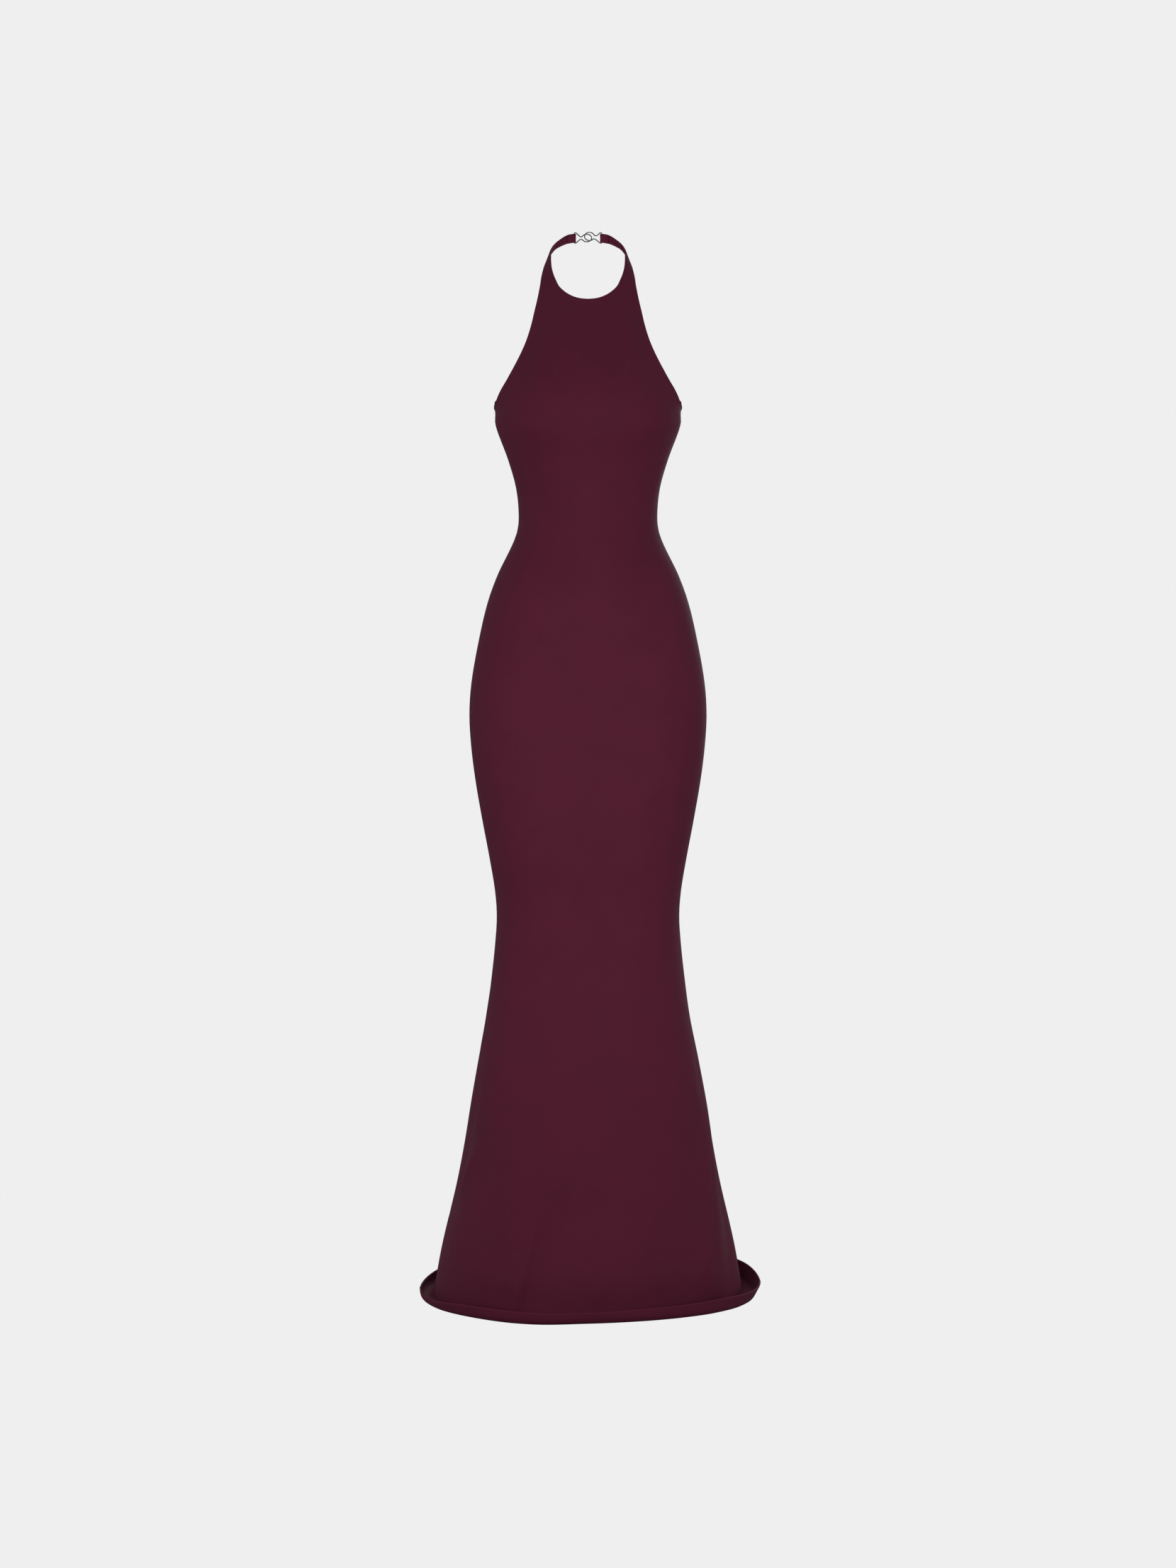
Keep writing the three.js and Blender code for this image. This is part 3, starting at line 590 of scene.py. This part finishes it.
def makeFront():
    sheet = Sheet()
    grooves = []
    previous = None

    def stack(*values):
        nonlocal previous
        row, groove = fullRow(sheet, *values)
        grooves.append(groove)
        if previous is not None:
            sheet.join(previous, row)
        previous = row

    low, start, neckLow = panel["skirtTop"], panel["bibStart"], dress["neckLow"]
    for height in skirtHeights(low + 1):
        stack(0, pi / 2, height, height, -1, wallAt(height))
    for t in np.linspace(0, 1, panel["waistRows"] + 1)[1:-1]:
        edge = low + (dress["underarm"] - low) * t**1.15
        stack(0, pi / 2, mix(low, start, t), edge, -1, dress["jersey"])
    # the bib narrows from the underarm up to the row that meets the middle of the neckline
    plain = np.linspace(0, 1, panel["bibRows"] + 1)[:-1]
    bibLength = neckLow - start
    fractions = np.concatenate([plain * (1 - edgeSteps[-1] / bibLength),
                                1 - edgeSteps[::-1] / bibLength])
    edgeAngles, edgeHeights = evenSteps(bibAngles, bibHeights, fractions * bibSplit)
    for t, angle, height in zip(fractions, edgeAngles, edgeHeights):
        stack(0, angle, mix(start, neckLow, t), height, -1 if t == 0 else 0, dress["jersey"])
    top = previous
    middle = len(top) // 2
    lines = []
    for side in (-1, 1):
        below = top[middle:] if side > 0 else top[middle::-1]
        count = len(below) - 1
        starts = evenSteps(neckAngles, neckHeights, np.linspace(0, 1, panel["footRows"] + 1))
        ends = evenSteps(bibAngles, bibHeights,
                         mix(bibSplit, 1, np.linspace(0, 1, panel["footRows"] + 1)))
        neckEdge = [facePoint(0, neckLow)]
        sideEdge = []
        for k in range(1, panel["footRows"] - 2):
            t = k / panel["footRows"]
            startAngle, startHeight = starts[0][k], starts[1][k]
            endAngle, endHeight = ends[0][k], ends[1][k]
            corner = [facePoint(side * startAngle, startHeight), facePoint(side * endAngle, endHeight)]
            length = np.linalg.norm(corner[1] - corner[0])
            s = bothEdges(length, count)
            lowS = columnsToEdge(length, panel["columns"])
            s = mix(lowS, s, float(soft(t * 3)))
            power = mix(2, 1, float(soft(t * 3)))
            angle = side * mix(startAngle, endAngle, s)
            height = mix(startHeight, endHeight, s**power)
            points = facePoint(angle, height)
            measure = clothMeasure(angle, height, 0)
            row = sheet.addRow(points, measure, dress["jersey"])
            grooves.append(np.full(len(s), 1e3))
            sheet.join(below, row, flip=side < 0)
            below = row
            last = points
            neckEdge.append(points[0])
            sideEdge.append(points[-1])
        before = sheet.points[-2]
        # two rows lead from the bib into the strap
        s = bothEdges(panel["strapWidth"], count)
        rows = strapRows(side, s)
        first, second = rows[0][0], rows[1][0]
        blend = []
        for t in (0.33, 0.67):
            inSlope, outSlope = (last - before) * 3, (second - first) * 3.4
            blend.append((last * (2 * t**3 - 3 * t**2 + 1) + first * (3 * t**2 - 2 * t**3)
                          + inSlope * (t**3 - 2 * t**2 + t) + outSlope * (t**3 - t**2),
                          strapEnd["strapWall"]))
        along = measure[:, 1].mean()
        startAcross = abs(measure[0, 0])
        line = last
        for points, wall in blend + rows:
            along += np.linalg.norm(points[count // 2] - line[count // 2]) / 1000
            line = points
            width = np.linalg.norm(points[-1] - points[0]) / 1000
            flat = np.stack([side * (startAcross + s * width), np.full(len(s), along)], 1)
            row = sheet.addRow(points, flat, wall)
            grooves.append(np.full(len(s), 1e3))
            sheet.join(below, row, flip=side < 0)
            below = row
        strapLength = len(blend) + len(rows) - strapEnd["bendSteps"] - len(strapEnd["returns"])
        for points, _ in (blend + rows)[:strapLength]:
            neckEdge.append(points[0])
            sideEdge.append(points[-1])
        bibSide = [facePoint(side * a, h) for a, h in zip(edgeAngles, edgeHeights)]
        lines.append((np.array(neckEdge), np.array(bibSide + sideEdge)))
    groove = np.concatenate(grooves)
    piece, tree = shellObject("dressFront", sheet, [e for pair in lines for e in pair], groove)
    return piece, tree, lines


def backTop(angle):
    t = np.abs(angle - pi) / (pi / 2)
    return mix(dress["backLow"], dress["underarm"], 0.5 - 0.5 * np.cos(pi * t**1.15))


def makeBack():
    sheet = Sheet()
    grooves = []
    previous = None
    base = panel["backLevel"]
    plain = np.linspace(0, 1, panel["backRows"] + 1)[1:-1]
    # level rows, rows that bend up to the open edge, and close rows beside it
    heights = [(h, 0) for h in skirtHeights(base + 1)]
    heights += [(t, 1) for t in plain] + [(d, 2) for d in edgeSteps[::-1]]
    for value, kind in heights:
        level = value if kind == 0 else base
        length = halfLength(level, pi / 2, pi)
        s = columnsToEdge(length, panel["columns"])
        s = np.concatenate([-s[:0:-1], s])
        angle = pi + s * pi / 2
        top = backTop(angle)
        if kind == 0:
            height = np.full(len(s), value)
        elif kind == 1:
            height = mix(base, top - edgeSteps[-1] * 1.3, value)
        else:
            height = top - value * 1.3
        points = facePoint(angle, height)
        seams = np.zeros(len(s))
        seams[[0, -1]] = 1
        points[[0, -1], 1] += dress["seamGap"] / 2
        wall = wallAt(value) if kind == 0 else mix(dress["jersey"], dress["turnedEdge"],
                                                   soft((8 - (top - height)) / 2))
        row = sheet.addRow(points, clothMeasure(angle, height, pi), wall, seams)
        grooves.append((1 - np.abs(s)) * length)
        if previous is not None:
            sheet.join(previous, row)
        previous = row
    edge = sheet.points[-1]
    piece, tree = shellObject("dressBack", sheet, [edge], np.concatenate(grooves))
    return piece, tree, edge


frontCloth, frontTree, frontLines = makeFront()
print("front of the dress made,", len(frontCloth.data.polygons), "faces")
backCloth, backTree, backEdge = makeBack()
print("back of the dress made,", len(backCloth.data.polygons), "faces")


# twin needle seams of matched thread
thread = {
    "pitch": 2.9,      # from one stitch to the next
    "length": 2.1,
    "radius": 0.2,
    "hemRows": (20.5, 23.5),
    "plainFront": 6,   # points without stitches where the strap wraps its bar
    "plainBack": 3,    # and at each end of the open back
}


def stitchShape():
    bpy.ops.mesh.primitive_uv_sphere_add(segments=6, ring_count=5, radius=thread["radius"])
    stitch = bpy.context.object
    bpy.ops.object.mode_set(mode="EDIT")
    bpy.ops.mesh.select_all(action="SELECT")
    bpy.ops.transform.resize(value=(1, 0.7, thread["length"] / 2 / thread["radius"]))
    bpy.ops.object.mode_set(mode="OBJECT")
    for vertex in stitch.data.vertices:   # both ends dip into the cloth
        vertex.co.y -= 0.16 * (vertex.co.z / (thread["length"] / 2)) ** 2
    points = np.array([v.co[:] for v in stitch.data.vertices])
    faces = [list(p.vertices) for p in stitch.data.polygons]
    bpy.data.objects.remove(stitch, do_unlink=True)
    return points, faces


stitchPoints, stitchFaces = stitchShape()


# rows of stitches: each is a line of points on the cloth with the outward normals there
def makeStitching(name, rows):
    points, faces = [], []
    for line, normals in rows:
        length = np.concatenate([[0], np.cumsum(np.linalg.norm(np.diff(line, axis=0), axis=1))])
        count = int(length[-1] // thread["pitch"])
        at = (np.arange(count) + 0.5) * length[-1] / count
        place = np.stack([np.interp(at, length, line[:, i]) for i in range(3)], 1)
        ahead = np.stack([np.interp(at + 0.6, length, line[:, i]) for i in range(3)], 1)
        back = np.stack([np.interp(at - 0.6, length, line[:, i]) for i in range(3)], 1)
        out = np.stack([np.interp(at, length, normals[:, i]) for i in range(3)], 1)
        along = ahead - back
        along /= np.linalg.norm(along, axis=1, keepdims=True)
        out -= along * (out * along).sum(1, keepdims=True)
        out /= np.linalg.norm(out, axis=1, keepdims=True)
        aside = np.cross(out, along)
        for k in range(count):
            base = len(points) * len(stitchPoints)
            turned = stitchPoints @ np.stack([aside[k], out[k], along[k]])
            points.append(place[k] + out[k] * 0.1 + turned)
            faces += [[base + i for i in face] for face in stitchFaces]
    mesh = bpy.data.meshes.new(name)
    mesh.from_pydata(inFrame(np.concatenate(points)).tolist(), [], faces)
    mesh.polygons.foreach_set("use_smooth", [True] * len(mesh.polygons))
    piece = bpy.data.objects.new(name, mesh)
    bpy.context.collection.objects.link(piece)
    bpy.ops.object.select_all(action="DESELECT")
    piece.select_set(True)
    bpy.context.view_layer.objects.active = piece
    bpy.ops.object.mode_set(mode="EDIT")
    bpy.ops.mesh.select_all(action="SELECT")
    bpy.ops.mesh.normals_make_consistent(inside=False)
    bpy.ops.object.mode_set(mode="OBJECT")
    piece.select_set(False)
    print(name, "has", len(points), "stitches")
    return piece


# a line of stitches that runs beside a free edge, a set distance in
def besideEdge(line, tree, centre, inset):
    ahead = np.gradient(line, axis=0)
    places, normals = [], []
    for p, a in zip(line, ahead):
        near, normal, _, _ = tree.find_nearest(Vector(p))
        inward = np.cross(normal, a)
        inward /= max(np.linalg.norm(inward), 1e-9)
        if inward @ (centre(p) - p) < 0:
            inward = -inward
        place, normal, _, _ = tree.find_nearest(Vector(p + inward * inset))
        places.append(place[:])
        normals.append(normal[:])
    return np.array(places), np.array(normals)


# a place further in than the edge: the middle line of the strap, or a point nearer the bib's centre
inside = {
    "share": 0.55,
    "bibHalf": 130,
    "below": 2,
    "highest": 1372,
}


def furtherIn(p):
    if p[2] > dress["neckFoot"]:
        u = np.array([[strapFrame(k / 4, 0.5, 1 if p[0] > 0 else -1)[0]] for k in range(41)])[:, 0]
        return u[np.argmin(np.linalg.norm(u - p, axis=1))]
    across = np.clip(p[0] * inside["share"] / inside["bibHalf"], -1, 1)
    return facePoint(np.arcsin(across), min(p[2] - inside["below"], inside["highest"]))


neckRows, sideRows = [], []
for neckEdge, sideEdge in frontLines:
    for rows, edge in ((neckRows, neckEdge), (sideRows, sideEdge)):
        stitched = edge[:-thread["plainFront"]]
        rows.append(besideEdge(stitched, frontTree, furtherIn, dress["stitchInset"]))
necklineStitching = makeStitching("necklineStitching", neckRows)
bibStitching = makeStitching("bibStitching", sideRows)
stitched = backEdge[thread["plainBack"]:-thread["plainBack"]]
backRow = besideEdge(stitched, backTree, lambda p: p - np.array([0, 0, 50]), dress["stitchInset"])
backStitching = makeStitching("backStitching", [backRow])


def hemRow(inset, start, stop):
    angle = np.linspace(start, stop, 260)
    height = np.full(260, hemTurn - hemLength + inset)
    points = facePoint(angle, height)
    around = facePoint(angle + 0.002, height) - facePoint(angle - 0.002, height)
    upward = facePoint(angle, height + 0.3) - facePoint(angle, height - 0.3)
    normals = np.cross(around, upward)
    return points, normals / np.linalg.norm(normals, axis=1, keepdims=True)


hemStitching = makeStitching(
    "hemStitching", [hemRow(d, -0.495 * pi, 0.495 * pi) for d in thread["hemRows"]])
backHemStitching = makeStitching(
    "backHemStitching", [hemRow(d, 0.505 * pi, 1.495 * pi) for d in thread["hemRows"]])


# Each half of the clasp is bent from one wire: a ring, two legs and the bar in the strap end.
clasp = {
    "wire": 1.5,
    "sides": 14,
    "ringRadius": 6.8,
    "ringSteps": 34,
    "depth": 59.8,
    "left": {"ringX": 1.7, "ringZ": 0.1, "tilt": 38, "neckX": 9.7, "neckZ": 1.3, "arc": (32, 326)},
    "right": {"ringX": 2, "ringZ": 2.3, "tilt": -38, "neckX": 10.7, "neckZ": 2.3, "arc": (24, 318)},
}


def claspHalf(name, side):
    shape = clasp["right" if side > 0 else "left"]
    tilt = radians(shape["tilt"])
    nape = dress["napeHeight"]
    last = len(strap["row"]) - 1
    bar = []
    for s in (1, 0):
        point, normal, _ = strapFrame(last, s, side)
        bar.append(point - normal * foldRadius)

    def barPoint(z):
        return bar[0] + (bar[1] - bar[0]) * (z + nape - bar[0][2]) / (bar[1][2] - bar[0][2])

    barX = abs(barPoint(0)[0])

    def put(x, z, y=0):
        depth = mix(clasp["depth"], barPoint(z)[1], min(x / barX, 1) ** 2)
        return Vector((side * x, depth + y, z + nape))

    centre = Vector((side * shape["ringX"], clasp["depth"], shape["ringZ"] + nape))
    outward = Vector((side, 0, 0))
    upward = Vector((0, sin(tilt), cos(tilt)))
    start, stop = (radians(a) for a in shape["arc"])

    def ring(a):
        point = centre + (outward * cos(a) + upward * sin(a)) * clasp["ringRadius"]
        return point, upward * cos(a) - outward * sin(a)

    first, firstWay = ring(start)
    end, endWay = ring(stop)
    lean = 1.1 * sin(tilt)
    corners = [
        (end + endWay * 1.3, 2.2),
        (put(shape["neckX"] + 0.9, -shape["neckZ"] - 0.3, -lean), 4),
        (put(barX - 2.6, -6.9), 1.8),
        (put(barX - 0.1, -7.05), 1.1),
        (put(barX - 0.1, 7.05), 1.1),
        (put(barX - 2.6, 6.9), 1.8),
        (put(shape["neckX"] + 0.9, shape["neckZ"] + 0.3, lean), 4),
        (first - firstWay * 1.3, 2.2),
    ]
    turned = firstWay.to_track_quat("Z", "Y").to_euler()
    bpy.ops.mesh.primitive_circle_add(vertices=clasp["sides"], radius=clasp["wire"] / 2,
                                      location=first, rotation=turned)
    half = bpy.context.object
    half.name = half.data.name = name
    bpy.ops.object.transform_apply(location=True, rotation=True, scale=True)
    bpy.ops.object.mode_set(mode="EDIT")
    bpy.ops.mesh.select_all(action="SELECT")
    # spin turns clockwise round its axis, so each axis is given the other way
    bpy.ops.mesh.spin(steps=clasp["ringSteps"], angle=stop - start, center=centre,
                      axis=upward.cross(outward))
    at, way = end, endWay
    stops = [corner for corner, _ in corners[1:]] + [first]
    for (corner, radius), following in zip(corners, stops):
        leaving = (following - corner).normalized()
        angle = way.angle(leaving)
        reach = min(radius * np.tan(angle / 2), 0.48 * (following - corner).length,
                    0.9 * (corner - at).length)
        radius = reach / np.tan(angle / 2)
        axis = way.cross(leaving).normalized()
        bpy.ops.mesh.extrude_region_move(
            TRANSFORM_OT_translate={"value": corner - way * reach - at})
        at = corner - way * reach
        steps = max(3, round(degrees(angle) / 9))
        bpy.ops.mesh.spin(steps=steps, angle=angle, center=at + axis.cross(way) * radius, axis=-axis)
        at, way = corner + leaving * reach, leaving
    # the wire closes on the start of the ring
    bpy.ops.mesh.extrude_region_move(TRANSFORM_OT_translate={"value": (first - at) * 0.9})
    bpy.ops.mesh.select_all(action="DESELECT")
    bpy.ops.mesh.select_mode(type="EDGE")
    bpy.ops.mesh.select_non_manifold(extend=False)
    bpy.ops.mesh.bridge_edge_loops()
    bpy.ops.mesh.select_all(action="SELECT")
    bpy.ops.mesh.remove_doubles(threshold=0.002)
    bpy.ops.mesh.normals_make_consistent(inside=False)
    bpy.ops.object.mode_set(mode="OBJECT")
    for vertex in half.data.vertices:
        vertex.co = inFrame(np.array(vertex.co))
    bpy.ops.object.shade_smooth()
    bpy.ops.object.select_all(action="DESELECT")
    return half


claspLeft = claspHalf("claspLeft", -1)
claspRight = claspHalf("claspRight", 1)
print("clasp bent,", len(claspLeft.data.polygons) + len(claspRight.data.polygons), "faces")


jerseyLook = {
    "deep": "#4e1a2d",
    "pale": "#521c2f",
    "strap": "#5e2238",       # painted highlight: the neck strap is painted a shade paler, for the light that falls on it from above
    "paintedStrapLightHeights": (-0.03, -0.008),
    "roughness": 0.65,
    "sheen": 0.02,
    "waleMillimetres": 1.1,   # a real wale is about 0.5 mm, drawn coarser so that it shows
    "courseMillimetres": 0.9,
    "patchMillimetres": 60,
}


# Viscose and elastane single jersey, piece-dyed burgundy: matt, with fine upright wales and a
# faint bloom of loose fibre where the surface turns away.
def jerseyMaterial(name, look):
    material, tree = newMaterial(name)
    place = addNode(tree, "TexCoord")
    knit = addNode(tree, "UVMap", {"uv_map": "knit"})
    patches = addNode(tree, "TexNoise", {"Scale": 1000 / look["patchMillimetres"], "Detail": 4.0,
                                         "Roughness": 0.55}, {"Vector": place.outputs["Object"]})
    tint = addNode(tree, "ValToRGB", links={"Fac": patches.outputs["Fac"]})
    ramp = tint.color_ramp
    ramp.elements[0].position, ramp.elements[1].position = 0.3, 0.7
    ramp.elements[0].color, ramp.elements[1].color = colour(look["deep"]), colour(look["pale"])
    # painted highlight: from these heights up, the jersey is painted paler to stand in for light from
    # above on the neck strap
    heights = addNode(tree, "SeparateXYZ", links={"Vector": place.outputs["Object"]})
    paintedStrapLightShare = addNode(tree, "MapRange", {"From Min": look["paintedStrapLightHeights"][0],
                                          "From Max": look["paintedStrapLightHeights"][1]},
                       {"Value": heights.outputs["Z"]})
    colourWithPaintedStrapLight = addNode(tree, "MixRGB", {"Color2": colour(look["strap"])},
                   {"Fac": paintedStrapLightShare.outputs["Result"], "Color1": tint.outputs["Color"]})
    parts = addNode(tree, "SeparateXYZ", links={"Vector": knit.outputs["UV"]})
    wales = addNode(tree, "Math", {"operation": "MULTIPLY", 1: 2000 * pi / look["waleMillimetres"]},
                    {0: parts.outputs["X"]})
    waleWave = addNode(tree, "Math", {"operation": "COSINE"}, {0: wales.outputs[0]})
    slant = addNode(tree, "Math", {"operation": "ABSOLUTE"}, {0: waleWave.outputs[0]})
    course = addNode(tree, "Math",
                     {"operation": "MULTIPLY", 1: 2000 * pi / look["courseMillimetres"]},
                     {0: parts.outputs["Y"]})
    legs = addNode(tree, "Math", {"operation": "MULTIPLY_ADD", 1: 2.2},
                   {0: slant.outputs[0], 2: course.outputs[0]})
    courseWave = addNode(tree, "Math", {"operation": "COSINE"}, {0: legs.outputs[0]})
    loops = addNode(tree, "Math", {"operation": "MULTIPLY_ADD", 1: 0.35},
                    {0: courseWave.outputs[0], 2: waleWave.outputs[0]})
    fuzz = addNode(tree, "TexNoise", {"Scale": 900.0, "Detail": 2.0},
                   {"Vector": place.outputs["Object"]})
    surface = addNode(tree, "Math", {"operation": "MULTIPLY_ADD", 1: 0.9},
                      {0: fuzz.outputs["Fac"], 2: loops.outputs[0]})
    bump = addNode(tree, "Bump", {"Strength": 0.35, "Distance": 0.00012},
                   {"Height": surface.outputs[0]})
    wear = addNode(tree, "MapRange", {"From Min": 0.3, "From Max": 0.7,
                                      "To Min": look["roughness"] - 0.05,
                                      "To Max": look["roughness"] + 0.05},
                   {"Value": patches.outputs["Fac"]})
    shader = addNode(tree, "BsdfPrincipled",
                     {"Sheen Weight": look["sheen"], "Sheen Roughness": 0.45,
                      "Sheen Tint": colour("#c9a3ad"), "IOR": 1.45, "Specular IOR Level": 0.05},
                     {"Base Color": colourWithPaintedStrapLight.outputs["Color"], "Roughness": wear.outputs["Result"],
                      "Normal": bump.outputs["Normal"]})
    output = addNode(tree, "OutputMaterial")
    tree.links.new(shader.outputs["BSDF"], output.inputs["Surface"])
    return material


threadLook = {
    "deep": "#4c1a28",
    "pale": "#5e2434",
    "twistScale": 2500.0,
    "roughness": 0.5,
}


# Spun polyester sewing thread, dyed to match: a little brighter and shinier than the jersey.
def threadMaterial(look):
    material, tree = newMaterial("matchedPolyesterThread")
    place = addNode(tree, "TexCoord")
    twist = addNode(tree, "TexNoise", {"Scale": look["twistScale"], "Detail": 1.0},
                    {"Vector": place.outputs["Object"]})
    tint = addNode(tree, "ValToRGB", links={"Fac": twist.outputs["Fac"]})
    tint.color_ramp.elements[0].color = colour(look["deep"])
    tint.color_ramp.elements[1].color = colour(look["pale"])
    bump = addNode(tree, "Bump", {"Strength": 0.4, "Distance": 0.00005},
                   {"Height": twist.outputs["Fac"]})
    shader = addNode(tree, "BsdfPrincipled", {"Roughness": look["roughness"], "IOR": 1.5},
                     {"Base Color": tint.outputs["Color"], "Normal": bump.outputs["Normal"]})
    output = addNode(tree, "OutputMaterial")
    tree.links.new(shader.outputs["BSDF"], output.inputs["Surface"])
    return material


wireLook = {
    "left": ("#77787c", "#38383c"),    # pale and deep
    "right": ("#929397", "#505054"),
    "roughness": (0.16, 0.34),
    "cloudScale": 420.0,
}


# Steel wire, nickel plated and barrel polished: bright, with soft wear clouds.
def wireMaterial(name, look, side):
    material, tree = newMaterial(name)
    place = addNode(tree, "TexCoord")
    clouds = addNode(tree, "TexNoise", {"Scale": look["cloudScale"], "Detail": 3.0},
                     {"Vector": place.outputs["Object"]})
    tint = addNode(tree, "ValToRGB", links={"Fac": clouds.outputs["Fac"]})
    pale, deep = look[side]
    tint.color_ramp.elements[0].color = colour(deep)
    tint.color_ramp.elements[1].color = colour(pale)
    smooth, dull = look["roughness"]
    wear = addNode(tree, "MapRange", {"To Min": smooth, "To Max": dull},
                   {"Value": clouds.outputs["Fac"]})
    bump = addNode(tree, "Bump", {"Strength": 0.15, "Distance": 0.00003},
                   {"Height": clouds.outputs["Fac"]})
    shader = addNode(tree, "BsdfPrincipled", {"Metallic": 1.0},
                     {"Base Color": tint.outputs["Color"], "Roughness": wear.outputs["Result"],
                      "Normal": bump.outputs["Normal"]})
    output = addNode(tree, "OutputMaterial")
    tree.links.new(shader.outputs["BSDF"], output.inputs["Surface"])
    return material


jersey = jerseyMaterial("burgundyViscoseJersey", jerseyLook)
threads = threadMaterial(threadLook)
putMaterial(frontCloth, jersey)
putMaterial(backCloth, jersey)
stitchings = {
    "jersey_front": [necklineStitching, bibStitching, hemStitching],
    "jersey_back": [backStitching, backHemStitching],
}
putMaterial(claspLeft, wireMaterial("polishedNickelSteelLeft", wireLook, "left"))
putMaterial(claspRight, wireMaterial("polishedNickelSteelRight", wireLook, "right"))
for slot, group in stitchings.items():
    for piece in group:
        putMaterial(piece, threads)
        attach(piece, "root")
print("materials set")

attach(frontCloth, "root")
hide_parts("front")
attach(backCloth, "root")
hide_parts("back")
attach(claspLeft, "root")
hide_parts("clasp_left")
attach(claspRight, "root")
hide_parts("clasp_right")


# pale paper floor and softboxes
studio = {
    "floor": -1.4725,
    "floorSize": 60,
    "floorColour": (0.4, 0.4, 0.4, 1),
    "backdrop": "#efefef",   # the even pale grey that the camera sees all round
    "ambient": 0.42,         # what the surroundings give the cloth
    # softboxes: place, power, size and the height each is aimed at
    "lights": {
        "frontSoftbox": ((0, -1.3, -0.65), 6.1, 0.5, -0.65),
        "chestSoftbox": ((0, -1.1, -0.05), 0.9, 0.4, -0.12),
        "leftSoftbox": ((-2.6, -0.6, -0.3), 8, 1.6, -0.72),
        "rightSoftbox": ((2.6, -0.6, -0.3), 8.6, 1.6, -0.72),
        "lowLeftSoftbox": ((-1.5, -0.9, -1.3), 4.5, 0.7, -0.72),
        "lowRightSoftbox": ((1.5, -0.9, -1.3), 4, 0.7, -0.72),
        "topSoftbox": ((0, -0.3, 1.6), 4, 1.5, -0.72),
        "backSoftbox": ((0.6, 2.4, -0.3), 14, 1.6, -0.72),
    },
}


def makeStudio():
    world = bpy.data.worlds.new("paleStudio")
    bpy.context.scene.world = world
    world.use_nodes = True
    tree = world.node_tree
    tree.nodes.clear()
    path = addNode(tree, "LightPath")
    seen = addNode(tree, "Background", {"Color": colour(studio["backdrop"]), "Strength": 1.0})
    lit = addNode(tree, "Background", {"Color": (1, 1, 1, 1), "Strength": studio["ambient"]})
    both = addNode(tree, "MixShader", links={0: path.outputs["Is Camera Ray"],
                                             1: lit.outputs[0], 2: seen.outputs[0]})
    output = addNode(tree, "OutputWorld")
    tree.links.new(both.outputs[0], output.inputs["Surface"])

    bpy.ops.mesh.primitive_plane_add(size=studio["floorSize"], location=(0, 0, studio["floor"]))
    floor = bpy.context.object
    floor.name = "studioFloor"
    bpy.ops.object.transform_apply(location=True, rotation=True, scale=True)
    material, tree = newMaterial("palePaper")
    path = addNode(tree, "LightPath")
    matt = addNode(tree, "BsdfDiffuse", {"Color": studio["floorColour"]})
    glow = addNode(tree, "Emission", {"Color": colour(studio["backdrop"]), "Strength": 1.0})
    total = addNode(tree, "MixShader", links={0: path.outputs["Is Camera Ray"],
                                              1: matt.outputs[0], 2: glow.outputs[0]})
    output = addNode(tree, "OutputMaterial")
    tree.links.new(total.outputs[0], output.inputs["Surface"])
    putMaterial(floor, material)

    for name, (place, power, size, height) in studio["lights"].items():
        data = bpy.data.lights.new(name, "AREA")
        data.shape = "SQUARE"
        data.size = size
        data.energy = power
        lamp = bpy.data.objects.new(name, data)
        bpy.context.collection.objects.link(lamp)
        lamp.location = place
        aim = Vector((0, 0, height)) - lamp.location
        lamp.rotation_euler = aim.to_track_quat("-Z", "Y").to_euler()
    bpy.context.scene.view_settings.view_transform = "Standard"
    bpy.context.scene.view_settings.look = "None"


makeStudio()
print("studio set")
